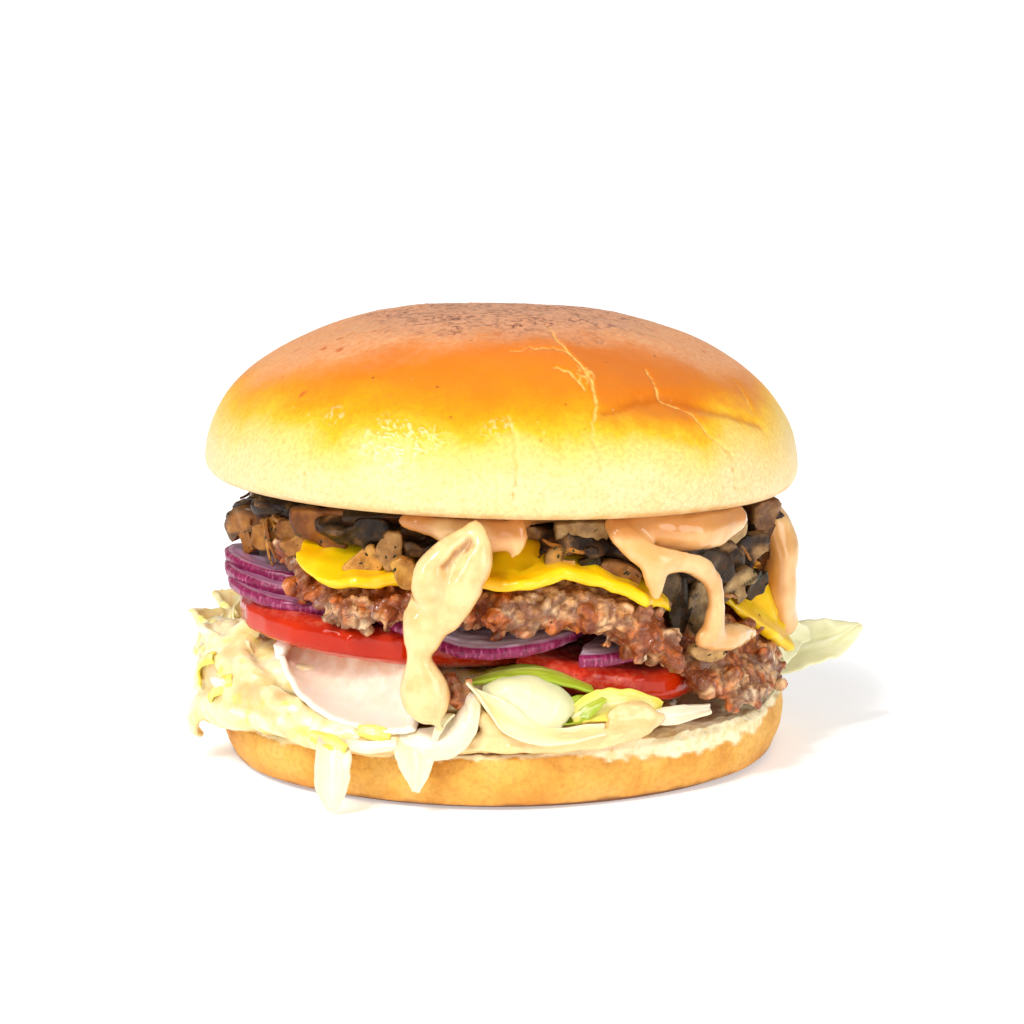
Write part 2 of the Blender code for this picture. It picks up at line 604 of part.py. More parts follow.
def bun_heel():
    rings = []
    for radius, height in HEEL_PROFILE:
        ring = []
        for angle in even_angles(BUN_SEGMENTS):
            wobble = 0.5 * math.sin(math.radians(3 * angle + 70)) + 0.5 * math.sin(math.radians(7 * angle))
            place = on_circle(radius + wobble * (height > 0.0), angle, 0.0)
            place.z = heel_top_z(place.x) * height
            ring.append(place)
        rings.append(ring)
    for radius in HEEL_TOP_RINGS:
        ring = []
        for angle in even_angles(BUN_SEGMENTS):
            place = on_circle(radius, angle, 0.0)
            torn = rough(place, 4.0, 3) * 0.9 * ease((radius - 40.0) / 15.0)
            place.z = heel_top_z(place.x) + torn
            ring.append(place)
        rings.append(ring)
    return ring_body("bun_heel", rings, Vector((0.0, 0.0, 0.0)), Vector((0.0, 0.0, HEEL_HEIGHT)), toasted())


# Tomato and onion slices

def slice_reach(middle, radius, heart, angle, kept_off):
    # distance from the heart to the rim at an angle, stopping short of the circles to keep off
    ray = on_circle(1.0, angle, 0.0)
    offset = heart - middle
    along = ray.dot(offset)
    reach = math.sqrt(along * along - offset.dot(offset) + radius * radius) - along
    for other_middle, other_radius in kept_off:
        offset = heart - other_middle
        along = ray.dot(offset)
        inside = along * along - offset.dot(offset) + (other_radius + GAP) ** 2
        if along < 0.0 and inside > 0.0:
            reach = min(reach, -along - math.sqrt(inside))
    return reach


def slice_body(name, row, thickness, surface, rim, shade, kept_off=(), seed=1, segments=28):
    # round slice that follows a surface; heart is the point its outline is measured from
    middle = Vector((row[0], row[1], 0.0))
    radius = row[2]
    heart = Vector((row[3], row[4], 0.0)) if len(row) > 3 else middle
    half = thickness / 2.0
    rings = []
    for share, side in rim:
        ring = []
        for angle in even_angles(segments):
            wobble = 1.0 + 0.025 * math.sin(math.radians(3 * angle + 50 * seed))
            reach = slice_reach(middle, radius, heart, angle, kept_off) * min(wobble, 1.0)
            place = heart + on_circle(reach * share, angle, 0.0)
            place.z = surface(place.x, place.y) + half * side
            ring.append(place)
        rings.append(ring)
    heart.z = surface(heart.x, heart.y)
    lift = Vector((0.0, 0.0, half))
    return ring_body(name, rings, heart - lift, heart + lift, shade)


def tomato_slices():
    left = (-18.5, -15.5, 35.0)
    right = (14.0, -25.0, 25.0, 22.5, -29.0)
    back = (10.0, 21.0, 31.0, 13.0, 27.0)
    circles = [(Vector((row[0], row[1], 0.0)), row[2]) for row in (left, right, back)]
    rows = (
        ("tomato_left", left, 7.0, lambda x, y: 27.8 - 0.09 * x, (), 2, 28),
        ("tomato_right", right, 6.2, lambda x, y: 26.0 - 0.17 * x, circles[:1], 3, 26),
        ("tomato_back", back, 6.4, lambda x, y: 26.8 - 0.12 * x - 0.03 * (y - 20), circles[:2], 5, 26),
    )
    return [slice_body(name, row, thickness, surface, TOMATO_RIM, ripe(), kept_off, seed, segments)
            for name, row, thickness, surface, kept_off, seed, segments in rows]


def onion_slices(tomatoes):
    fan = ((-33.0, -18.5, 21.6), (-36.3, -15.5, 19.2), (-39.0, -12.0, 16.8))
    front = (-4.5, -32.0, 23.5)
    right = (9.5, -34.0, 19.8, 19.0, -40.0)
    back_left = (-12.0, 31.0, 23.0)
    back_right = (21.0, 31.0, 22.0, 26.0, 33.0)
    circles = [(Vector((row[0], row[1], 0.0)), row[2]) for row in (fan[0], front, right, back_left)]
    rows = []
    for i, row in enumerate(fan):
        level = ONION_LEVEL + ONION_STEP * i
        name = "onion_left_%d" % (i + 1)
        rows.append((name, row, lambda x, y, level=level: level - 0.09 * x, (), 11 + i, 22))
    rows += [
        ("onion_front", front, lambda x, y: 32.2 - 0.004 * (y + 30) ** 2, circles[:1], 15, 22),
        ("onion_right", right, lambda x, y: 31.4 - 0.12 * x - 0.003 * (y + 30) ** 2, circles[:2], 16, 20),
        ("onion_back_1", back_left, lambda x, y: 33.4 - 0.003 * (y - 30) ** 2, circles[:1], 17, 20),
        ("onion_back_2", back_right, lambda x, y: 31.2 - 0.06 * x - 0.003 * (y - 30) ** 2,
         circles[3:], 18, 20),
    ]
    slices = [slice_body(name, row, ONION_THICKNESS, surface, ONION_RIM, purple(), kept_off, seed, segments)
              for name, row, surface, kept_off, seed, segments in rows]
    for i, piece in enumerate(slices):
        lay_on(piece, tomatoes + slices[:i], carry=ONION_CARRY)
    return slices


# Beef

def patty_middle(radius, angle):
    # the patty lies over what is under it and droops to the right
    reach = stations(PATTY_RIM, 1, angle)
    rim = stations(PATTY_RIM, 2, angle)
    power = PATTY_DROOP if rim < PATTY_MIDDLE_Z else PATTY_LIFT
    return PATTY_MIDDLE_Z + (rim - PATTY_MIDDLE_Z) * min(radius / reach, 1.1) ** power


def patty_half(radius, angle):
    share = min(radius / stations(PATTY_RIM, 1, angle), 1.0)
    return PATTY_HALF_THICKNESS + (stations(PATTY_RIM, 3, angle) - PATTY_HALF_THICKNESS) * share ** 3


def beef_patty():
    run = [(share, -1.0) for share in PATTY_SHARES] + [(1.0, 0.0)]
    run += [(share, 1.0) for share in PATTY_SHARES[::-1]]
    rings = []
    for share, side in run:
        rounding = math.sqrt(max(1.0 - share ** 9, 0.0))
        ring = []
        for angle in even_angles(PATTY_SEGMENTS):
            reach = stations(PATTY_RIM, 1, angle)
            half = patty_half(reach * share, angle) * rounding
            flat = on_circle(reach, angle, 0.0)
            crag = rough(flat, 6.0, 4) * 3.0 + rough(flat, 3.0, 5) * 1.4
            radius = reach * share + crag * share ** 6
            place = on_circle(radius, angle, patty_middle(radius, angle) + side * half)
            lump = rough(place, 7.0, 6) * 2.0 + rough(place, 3.5, 7) * 0.9
            place.z += lump * (0.5 if side < 0 else 1.0) * ease(share * 1.6 - 0.4) * rounding
            ring.append(place)
        rings.append(ring)
    lift = Vector((0.0, 0.0, PATTY_HALF_THICKNESS))
    middle = Vector((0.0, 0.0, PATTY_MIDDLE_Z))
    return ring_body("beef_patty", rings, middle - lift, middle + lift, minced())


# Cheese

def on_beef(radius, angle):
    return patty_middle(radius, angle) + patty_half(radius, angle) + 0.8


def cheese_edge_height(index):
    angle, reach, height = CHEESE_RIM[index]
    return on_beef(reach, angle) + 0.4 if height is None else height


def cheese_slice():
    edge = [(row[0], row[1], cheese_edge_height(i)) for i, row in enumerate(CHEESE_RIM)]
    above = []
    below = []
    for share in CHEESE_SHARES:
        upper = []
        lower = []
        for angle in even_angles(CHEESE_SEGMENTS):
            reach = stations(edge, 1, angle)
            lowest = stations(edge, 2, angle)
            rim = stations(PATTY_RIM, 1, angle)
            radius = reach * share
            lying = on_beef(radius, angle)
            hang = ease((radius - rim * 0.88) / max(reach - rim * 0.88, 0.5))
            base = lying + (min(lowest, lying) - lying) * hang
            lean = 0.75 * hang * (lowest < on_beef(reach, angle) - 1.0)
            out = on_circle(1.0, angle, 0.0)
            lift = Vector((out.x * lean, out.y * lean, 1.0 - 0.45 * lean)).normalized()
            thick = CHEESE_THICKNESS * (1.0 + 0.35 * share ** 4)
            place = on_circle(radius, angle, base)
            place.z += rough(place, 9.0, 8) * 0.6 * share
            lower.append(place)
            upper.append(place + lift * thick)
        above.append(upper)
        below.append(lower)
    lip = []
    for low, high in zip(below[-1], above[-1]):
        middle = (low + high) / 2.0
        lip.append(middle + Vector((middle.x, middle.y, 0.0)).normalized() * 0.7 - Vector((0.0, 0.0, 0.3)))
    floor = on_beef(0.0, 0.0)
    return ring_body("cheese_slice", below + [lip] + above[::-1], Vector((0.0, 0.0, floor)),
                     Vector((0.0, 0.0, floor + CHEESE_THICKNESS)), melted())


def cheese_ribbon():
    # fold of the slice that stands up at the right end and runs down over the beef
    return strand("cheese_ribbon", [(43, -20, 43), (47.5, -15, 39.5), (52.5, -12, 34.0), (56.0, -10, 28.5)],
                  [4.0, 4.6, 4.8, 4.2], [1.5, 1.5, 1.7, 1.6], melted(), steps=2, sides=8)


# Mushrooms

def mushroom_slice(name, centre, size, facing, tilt, spin, thickness=3.0, stem=True):
    # a mushroom cut lengthwise: domed cap with curled ends and a stem, standing at an angle
    outline = []
    for i in range(CAP_STEPS + 1):
        turn = math.radians(180.0 * i / CAP_STEPS)
        outline.append((math.cos(turn) * size, math.sin(turn) * size * 0.72))
    outline.append((-size * 0.66, -size * 0.26))
    if stem:
        outline += [(-size * 0.3, -size * 0.14), (-size * 0.26, -size * 0.85),
                    (size * 0.26, -size * 0.85), (size * 0.3, -size * 0.14)]
    outline.append((size * 0.66, -size * 0.26))
    shape = bmesh.new()
    sheets = [[shape.verts.new((x, y, z)) for x, z in outline] for y in (-thickness / 2.0, thickness / 2.0)]
    shape.faces.new(sheets[0])
    shape.faces.new(sheets[1][::-1])
    count = len(outline)
    for i in range(count):
        j = (i + 1) % count
        shape.faces.new((sheets[0][j], sheets[0][i], sheets[1][i], sheets[1][j]))
    turn = math.radians(facing + 90.0)
    stand = (Matrix.Translation(Vector(centre)) @ Matrix.Rotation(turn, 4, "Z")
             @ Matrix.Rotation(tilt, 4, "X") @ Matrix.Rotation(-spin, 4, "Y"))
    bmesh.ops.transform(shape, matrix=stand, verts=shape.verts)
    return add_mesh(name, shape, fried())


def mushroom_cap(name, centre, size, squash=0.55, seed=1):
    # lumpy fried piece: a flattened ball with an uneven skin
    shape = bmesh.new()
    bmesh.ops.create_icosphere(shape, subdivisions=2, radius=1.0)
    for corner in shape.verts:
        swell = 1.0 + 0.28 * rough(corner.co * size, size * 0.8, seed)
        corner.co = Vector((corner.co.x * size, corner.co.y * size, corner.co.z * size * squash)) * swell
        corner.co += Vector(centre)
    return add_mesh(name, shape, fried())


def heap_core(below):
    rings = []
    for share, high in CORE_PROFILE:
        ring = []
        for angle in even_angles(HEAP_SEGMENTS):
            radius = stations(HEAP_RIM, 1, angle) * share
            place = on_circle(radius, angle, 0.0)
            low = on_beef(radius, angle) + CHEESE_THICKNESS + CORE_CLEARANCE
            top = cut_face_z(place.x) - UPPER_SPREAD - CORE_CLEARANCE
            place.z = low + max(top - low, CORE_LEAST) * high
            ring.append(place)
        rings.append(ring)
    floor = on_beef(0.0, 0.0) + CHEESE_THICKNESS + CORE_CLEARANCE
    core = ring_body("mushroom_heap", rings, Vector((0.0, 0.0, floor)),
                     Vector((0.0, 0.0, CROWN_CUT_Z - UPPER_SPREAD - CORE_CLEARANCE)), fried())
    return lay_on(core, below)


def nudge_between(piece, below, above):
    # shifts a whole piece up off what is under it, or down from what is over it
    for others, side in ((below, 1.0), (above, -1.0)):
        need = 0.0
        for corner in piece.data.vertices:
            for tree in others:
                start = Vector((corner.co.x, corner.co.y, FAR_OFF * side))
                hit = tree.ray_cast(start, Vector((0.0, 0.0, -side)))[0]
                if hit is not None:
                    need = max(need, (hit.z - corner.co.z) * side + GAP * METRE)
        for corner in piece.data.vertices:
            corner.co.z += side * min(need, NUDGE_LIMIT * METRE)


def mushroom_heap(below, above, beside):
    core = heap_core(below)
    pieces = []
    for i, (angle, reach, height, size, lean, turn, thick, stem) in enumerate(SHOWN_MUSHROOMS):
        facing = -90.0 + (angle + 90.0) * FACING_SHARE
        centre = on_circle(reach, angle, height)
        pieces.append(mushroom_slice("slice_%d" % i, centre, size, facing, lean, turn, thick, stem))
    draw = random.Random(SEED)
    for i in range(BACK_MUSHROOMS):
        angle = 8.0 + 176.0 * i / (BACK_MUSHROOMS - 1) + draw.uniform(-3, 3)
        reach = stations(HEAP_RIM, 1, angle) + draw.uniform(-1.0, 1.0)
        low = on_beef(reach, angle) + CHEESE_THICKNESS + 1.0
        height = low + (cut_face_z(on_circle(reach, angle, 0).x) - 4.0 - low) * draw.uniform(0.3, 0.85)
        centre = on_circle(reach, angle, height)
        size, lean, turn, thick = (draw.uniform(*span) for span in BACK_SPANS)
        pieces.append(mushroom_slice("back_%d" % i, centre, size, angle, lean, turn, thick, i % 2 == 0))
    for i, (angle, reach, height, size) in enumerate(SHOWN_CAPS):
        pieces.append(mushroom_cap("cap_%d" % i, on_circle(reach, angle, height), size, 0.5, i))
    lower = [tree_of(piece) for piece in below]
    upper = [tree_of(piece) for piece in above]
    for piece in pieces:
        nudge_between(piece, lower, upper)
    return make_room(fuse(core, pieces), above + below + beside)


# Sauce

def sauce_upper():
    # thin spread under the crown with the drips that run down from it
    rings = []
    half = UPPER_SPREAD / 2.0
    for share, side in SPREAD_PROFILE:
        ring = []
        for angle in even_angles(SAUCE_SEGMENTS):
            place = on_circle(stations(UPPER_SAUCE_RIM, 1, angle) * share, angle, 0.0)
            place.z = cut_face_z(place.x) - GAP - half + side * half
            ring.append(place)
        rings.append(ring)
    middle = Vector((0.0, 0.0, CROWN_CUT_Z - GAP - half))
    lift = Vector((0.0, 0.0, half))
    body = ring_body("sauce_upper", rings, middle - lift, middle + lift, creamy())
    pieces = []
    for i, (points, widths, depths, outward) in enumerate(SAUCE_RUNS):
        facing = Vector(outward).normalized() if outward else None
        run = strand("run_%d" % i, points, widths, depths, creamy(), steps=2, sides=7, outward=facing)
        for corner in run.data.vertices:
            ceiling = (cut_face_z(corner.co.x / METRE) - GAP - 0.15) * METRE
            corner.co.z = min(corner.co.z, ceiling)
        pieces.append(run)
    return fuse(body, pieces)


def pool_thickness(radius, angle):
    # thin under the lettuce, thick in front of it
    start = stations(BED_RIM, 1, angle) + BED_MARGIN
    return POOL_FILM + stations(POOL_RIM, 2, angle) * ease((radius - start) / 3.5)


def sauce_lower():
    # pool on the heel, thickest at the front
    rings = []
    for share, high in POOL_PROFILE:
        ring = []
        for angle in even_angles(SAUCE_SEGMENTS):
            radius = stations(POOL_RIM, 1, angle) * share
            place = on_circle(radius, angle, 0.0)
            thick = pool_thickness(radius, angle)
            ripple = rough(place, 6.0, 13) * 0.12 * (thick - POOL_FILM)
            place.z = heel_top_z(place.x) + POOL_FLOOR + (thick + ripple) * high
            ring.append(place)
        rings.append(ring)
    floor = heel_top_z(0.0) + POOL_FLOOR
    return ring_body("sauce_lower", rings, Vector((0.0, 0.0, floor)),
                     Vector((0.0, 0.0, floor + POOL_FILM)), creamy())


# Lettuce

def leaf(name, points, widths, side, cup, ruffle, waves, across, steps, seed, thickness=1.1):
    # thin wavy sheet along a spine; both faces are split into the same triangles
    path = smooth_path([Vector(point) for point in points], steps)
    halves = spread(widths, len(path))
    hint = Vector(side).normalized()
    count = len(path)
    grid = []
    for i, middle in enumerate(path):
        along = (path[min(i + 1, count - 1)] - path[max(i - 1, 0)]).normalized()
        over = (hint - along * hint.dot(along)).normalized()
        normal = along.cross(over)
        row = []
        for k in range(across + 1):
            v = 2.0 * k / across - 1.0
            wave = ruffle * math.sin(waves * math.pi * i / (count - 1) + 2.2 * v + seed) * (0.3 + abs(v))
            row.append(middle + over * (halves[i] * v) + normal * (cup * halves[i] * v * v + wave))
        grid.append(row)
    sheets = ([], [])
    shape = bmesh.new()
    for i in range(count):
        rows = ([], [])
        for k in range(across + 1):
            down = grid[min(i + 1, count - 1)][k] - grid[max(i - 1, 0)][k]
            over = grid[i][min(k + 1, across)] - grid[i][max(k - 1, 0)]
            normal = down.cross(over).normalized()
            rows[0].append(shape.verts.new(grid[i][k] + normal * thickness / 2.0))
            rows[1].append(shape.verts.new(grid[i][k] - normal * thickness / 2.0))
        sheets[0].append(rows[0])
        sheets[1].append(rows[1])
    for sheet in sheets:
        for i in range(count - 1):
            for k in range(across):
                a, b, c, d = sheet[i][k], sheet[i + 1][k], sheet[i + 1][k + 1], sheet[i][k + 1]
                shape.faces.new((a, b, c))
                shape.faces.new((a, c, d))
    border = ([(i, 0) for i in range(count)] + [(count - 1, k) for k in range(1, across + 1)]
              + [(i, across) for i in range(count - 2, -1, -1)] + [(0, k) for k in range(across - 1, 0, -1)])
    for (i, k), (j, m) in zip(border, border[1:] + border[:1]):
        shape.faces.new((sheets[0][i][k], sheets[1][i][k], sheets[1][j][m]))
        shape.faces.new((sheets[0][i][k], sheets[1][j][m], sheets[0][j][m]))
    return add_mesh(name, shape, leafy())


def lettuce_leaves():
    # leaves that show as pieces of their own
    leaves = []
    for i, (name, points, widths, side, cup, ruffle, waves, across) in enumerate(LEAVES):
        leaves.append(leaf(name, points, widths, side, cup, ruffle, waves, across, LEAF_STEPS, i + 1))
    return leaves


def lettuce_core():
    rings = []
    for share, high in BED_PROFILE:
        ring = []
        for angle in even_angles(HEAP_SEGMENTS):
            place = on_circle(stations(BED_RIM, 1, angle) * share, angle, 0.0)
            low = heel_top_z(place.x) + BED_CLEARANCE
            top = stations(BED_RIM, 2, angle) if share > 0.8 else BED_MIDDLE_Z
            place.z = low + (top - low) * high
            fold = rough(place, 5.0, 14)
            place += Vector((place.x, place.y, 0.0)).normalized() * fold * 2.0 * share ** 4
            place.z += fold * 0.7 * high
            ring.append(place)
        rings.append(ring)
    return ring_body("lettuce_heap", rings, Vector((0.0, 0.0, heel_top_z(0.0) + BED_CLEARANCE)),
                     Vector((0.0, 0.0, BED_MIDDLE_Z)), leafy())


def lettuce_heap(above, fixed):
    # bed of shreds under the tomato that spills out at the left, with shreds standing out of it
    core = press_under(lettuce_core(), above)
    kept = [mesh for piece in fixed for mesh in clean_parts.get(piece.name, [piece.data])]
    draw = random.Random(SEED + 1)
    shreds = []
    for i in range(HEAP_SHREDS):
        row = i % 3
        angle = -218.0 + 20.0 * (i // 3) + 8.0 * row + draw.uniform(-3, 3)
        low = 12.0 + 4.6 * row + draw.uniform(-1.0, 1.0)
        reach = 59.5 - 0.1 * low
        start = on_circle(reach - 6.0, angle - draw.uniform(9, 13), low + draw.uniform(0, 4))
        middle = on_circle(reach + draw.uniform(2.6, 5.0), angle, low + draw.uniform(0.0, 3.0))
        end = on_circle(reach - draw.uniform(1, 4), angle + draw.uniform(9, 13), low - draw.uniform(-3, 2))
        shreds.append(leaf("shred_%d" % i, [start, middle, end], [2.6, draw.uniform(3.6, 5.0), 2.2],
                           (draw.uniform(-0.3, 0.3), 0.2, 1), 0.45, 0.5, 2.0, 2, 2, i, 1.5))
    for name, points, widths, side in HEAP_FLAPS:
        shreds.append(leaf(name, points, widths, side, 0.2, 0.4, 1.5, 3, 3, 3, 1.3))
    clear = []
    for shred in shreds:
        if meets(shred, kept, GAP * METRE):
            bpy.data.objects.remove(shred)
        else:
            clear.append(shred)
    return make_room(fuse(core, clear), fixed)


def build():
    for old in list(bpy.data.objects):
        bpy.data.objects.remove(old)
    crown = bun_crown()
    heel = bun_heel()
    tomatoes = tomato_slices()
    onions = onion_slices(tomatoes)
    beef = lay_on(beef_patty(), onions + tomatoes)
    make_room(beef, onions + tomatoes + [heel])
    cheese = fuse(lay_on(cheese_slice(), [beef]), [cheese_ribbon()])
    make_room(cheese, [beef] + onions)
    drips = make_room(sauce_upper(), [crown, cheese, beef] + onions + tomatoes)
    mushroom_heap([cheese, beef], [crown, drips], onions)
    fixed = [heel, beef, cheese, drips] + tomatoes + onions
    leaves = lettuce_leaves()
    for i, piece in enumerate(leaves):
        make_room(piece, fixed + leaves[:i])
    heap = lettuce_heap(tomatoes + [beef], fixed + leaves)
    make_room(sauce_lower(), fixed + leaves + [heap])
    clean_parts.clear()
    for mesh in list(bpy.data.meshes):
        if mesh.users == 0:
            bpy.data.meshes.remove(mesh)


build()
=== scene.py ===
import math
import random

import bmesh
import bpy
import numpy as np
from mathutils import Matrix, Vector, noise


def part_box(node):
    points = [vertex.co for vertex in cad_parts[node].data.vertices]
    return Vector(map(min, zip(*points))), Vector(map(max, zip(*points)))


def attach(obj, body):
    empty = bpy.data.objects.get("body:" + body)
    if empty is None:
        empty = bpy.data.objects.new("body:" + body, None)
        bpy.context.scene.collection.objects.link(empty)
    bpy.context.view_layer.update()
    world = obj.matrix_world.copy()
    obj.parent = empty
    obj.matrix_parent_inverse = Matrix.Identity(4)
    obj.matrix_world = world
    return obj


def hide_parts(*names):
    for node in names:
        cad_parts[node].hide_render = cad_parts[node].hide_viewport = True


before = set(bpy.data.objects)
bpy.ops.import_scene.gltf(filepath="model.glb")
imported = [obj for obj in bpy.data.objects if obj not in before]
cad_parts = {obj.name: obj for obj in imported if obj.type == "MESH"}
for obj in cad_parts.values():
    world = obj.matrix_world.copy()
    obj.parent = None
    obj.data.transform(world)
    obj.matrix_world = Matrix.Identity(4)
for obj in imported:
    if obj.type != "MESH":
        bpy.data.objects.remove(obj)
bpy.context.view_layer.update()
mm = 0.001  # the tables below are in millimetres
print("frame loaded:", len(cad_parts), "nodes")


# helpers for meshes

def deselectAll():
    for piece in list(bpy.context.selected_objects):
        piece.select_set(False)


def makeActive(piece):
    deselectAll()
    piece.select_set(True)
    bpy.context.view_layer.objects.active = piece


def applyModifier(piece, kind, **settings):
    makeActive(piece)
    modifier = piece.modifiers.new(kind.title(), kind)
    for name, value in settings.items():
        setattr(modifier, name, value)
    bpy.ops.object.modifier_apply(modifier=modifier.name)


def copyOfNode(node, name):
    # a node's triangles are loose, so the copy is merged
    piece = bpy.data.objects.new(name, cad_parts[node].data.copy())
    bpy.context.scene.collection.objects.link(piece)
    piece.data.materials.clear()
    makeActive(piece)
    bpy.ops.object.mode_set(mode="EDIT")
    bpy.ops.mesh.select_all(action="SELECT")
    bpy.ops.mesh.remove_doubles(threshold=0.00001)
    bpy.ops.object.mode_set(mode="OBJECT")
    return piece


def joinPieces(pieces, name):
    makeActive(pieces[0])
    for piece in pieces[1:]:
        piece.select_set(True)
    bpy.ops.object.join()
    joined = bpy.context.view_layer.objects.active
    joined.name = name
    return joined


def pieceOf(shape, name):
    # turns a bmesh in millimetres into an object
    bmesh.ops.recalc_face_normals(shape, faces=shape.faces)
    bmesh.ops.scale(shape, vec=(mm, mm, mm), verts=shape.verts)
    mesh = bpy.data.meshes.new(name)
    shape.to_mesh(mesh)
    shape.free()
    piece = bpy.data.objects.new(name, mesh)
    bpy.context.scene.collection.objects.link(piece)
    return piece


def addBlob(name, detail):
    # a ball one millimetre in radius, to be copied
    deselectAll()
    bpy.ops.mesh.primitive_ico_sphere_add(subdivisions=detail, radius=mm, location=(0, 0, 0))
    blob = bpy.context.active_object
    blob.name = name
    return blob


def copiesOf(pattern, matrices, name):
    # one object made of copies of a small mesh, each placed by its own matrix in millimetres
    corners = np.c_[pointsOf(pattern), np.ones(len(pattern.data.vertices))]
    sides = [tuple(side.vertices) for side in pattern.data.polygons]
    spots, faces = [], []
    for i, matrix in enumerate(matrices):
        spots.append((corners @ np.array(matrix).T)[:, :3] * mm)
        faces += [tuple(k + i * len(corners) for k in side) for side in sides]
    mesh = bpy.data.meshes.new(name)
    mesh.from_pydata(np.concatenate(spots).tolist(), [], faces)
    piece = bpy.data.objects.new(name, mesh)
    bpy.context.scene.collection.objects.link(piece)
    bpy.data.objects.remove(pattern)
    return piece


def stretched(size):
    return Matrix.Diagonal((*size, 1))


def standsOn(piece, count, draw, allowed, size, sink=0.0):
    # random places on a piece's surface, each turned and sized a little differently
    sides = [side for side in piece.data.polygons if allowed(side.center / mm, side.normal)]
    stands = []
    for i in range(count):
        side = draw.choice(sides)
        turn = side.normal.to_track_quat("Z", "Y").to_matrix().to_4x4()
        turn = turn @ Matrix.Rotation(draw.uniform(0, 6.28), 4, "Z")
        scale = [c * draw.uniform(0.55, 1.4) for c in size]
        stands.append(Matrix.Translation(side.center / mm - side.normal * sink) @ turn @ stretched(scale))
    return stands


def remeshed(piece, size, smoothing):
    applyModifier(piece, "REMESH", mode="VOXEL", voxel_size=size * mm, use_smooth_shade=True)
    applyModifier(piece, "SMOOTH", factor=0.5, iterations=smoothing)
    return piece


def pointsOf(piece):
    flat = np.empty(len(piece.data.vertices) * 3)
    piece.data.vertices.foreach_get("co", flat)
    return flat.reshape(-1, 3) / mm


def normalsOf(piece):
    flat = np.empty(len(piece.data.vertices) * 3)
    piece.data.vertices.foreach_get("normal", flat)
    return flat.reshape(-1, 3)


def reachOf(points):
    # distance from the middle axis
    return np.hypot(points[:, 0], points[:, 1])


def movePoints(piece, points):
    piece.data.vertices.foreach_set("co", (points * mm).ravel())
    piece.data.update()


def paintValue(piece, name, values):
    layer = piece.data.attributes.get(name) or piece.data.attributes.new(name, "FLOAT", "POINT")
    layer.data.foreach_set("value", np.asarray(values, np.float32))


def waves(points, size, seed=0.0):
    # soft uneven pattern between about -1 and 1, its swells size millimetres across
    shift = Vector((seed * 3.7, seed * 1.9, seed * 5.3))
    return np.array([noise.noise(Vector(p) / size + shift) for p in points])


def lumps(points, size, seed=0.0):
    # 1 in the middle of each lump, falling to 0 and below in the crevices
    shift = Vector((seed * 3.7, seed * 1.9, seed * 5.3))
    found = [noise.voronoi(Vector(p) / size + shift)[0] for p in points]
    return np.array([1.0 - 1.3 * d[0] / max(d[1], 1e-6) for d in found])


def ease(value):
    value = np.clip(value, 0.0, 1.0)
    return value * value * (3.0 - 2.0 * value)


def lobe(angle, centre, halfWidth):
    away = np.abs((angle - centre + 180.0) % 360.0 - 180.0)
    return 0.5 + 0.5 * np.cos(np.pi * np.minimum(away / halfWidth, 1.0))


def smoothPath(points, steps):
    # even run of points on a smooth curve through the given ones
    path = []
    rows = [np.array(p, float) for p in points]
    for i in range(len(rows) - 1):
        before, after = rows[max(i - 1, 0)], rows[min(i + 2, len(rows) - 1)]
        tangentIn, tangentOut = (rows[i + 1] - before) / 2, (after - rows[i]) / 2
        for k in range(steps):
            t = k / steps
            path.append(rows[i] * (2 * t ** 3 - 3 * t ** 2 + 1) + tangentIn * (t ** 3 - 2 * t ** 2 + t)
                        + rows[i + 1] * (3 * t ** 2 - 2 * t ** 3) + tangentOut * (t ** 3 - t ** 2))
    path.append(rows[-1])
    return path


def finishPiece(piece, material, slot, *nodes):
    piece.data.materials.clear()
    piece.data.materials.append(material)
    piece.data.shade_smooth()
    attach(piece, "root")
    if nodes:
        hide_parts(*nodes)
    return piece


# helpers for materials

def colour(red, green, blue):
    # screen values to the linear ones that shaders take
    def linear(value):
        value /= 255
        return value / 12.92 if value <= 0.04045 else ((value + 0.055) / 1.055) ** 2.4
    return (linear(red), linear(green), linear(blue), 1.0)


def startMaterial(name, **sockets):
    material = bpy.data.materials.new(name)
    material.use_nodes = True
    shader = material.node_tree.nodes["Principled BSDF"]
    for socket, value in sockets.items():
        shader.inputs[socket.replace("_", " ")].default_value = value
    return material, material.node_tree, shader


def plug(shader, **sockets):
    for socket, value in sockets.items():
        shader.id_data.links.new(value, shader.inputs[socket.replace("_", " ")])


def addNode(tree, kind, inputs, **settings):
    node = tree.nodes.new("ShaderNode" + kind)
    for name, value in settings.items():
        setattr(node, name, value)
    for key, value in inputs.items():
        if isinstance(value, bpy.types.NodeSocket):
            tree.links.new(value, node.inputs[key])
        else:
            node.inputs[key].default_value = value
    return node


def objectPlace(tree):
    found = [n for n in tree.nodes if n.bl_idname == "ShaderNodeTexCoord"]
    return (found[0] if found else tree.nodes.new("ShaderNodeTexCoord")).outputs["Object"]


def cloud(tree, size, detail=3.0, rough=0.55, warp=0.0, stretch=None):
    # soft noise with swells size millimetres across
    place = objectPlace(tree)
    if stretch:
        place = addNode(tree, "Mapping", {"Vector": place, "Scale": stretch}).outputs[0]
    node = addNode(tree, "TexNoise", {"Vector": place, "Scale": 1 / (size * mm), "Detail": detail,
                                      "Roughness": rough, "Distortion": warp})
    return node.outputs["Fac"]


def cells(tree, size):
    # distance to the nearest of many scattered points
    node = addNode(tree, "TexVoronoi", {"Vector": objectPlace(tree), "Scale": 1 / (size * mm)})
    return node.outputs["Distance"]


def painted(tree, name):
    return addNode(tree, "Attribute", {}, attribute_name=name).outputs["Fac"]


def reckoned(tree, how, *values):
    return addNode(tree, "Math", dict(enumerate(values)), operation=how).outputs[0]


def times(tree, first, second):
    return reckoned(tree, "MULTIPLY", first, second)


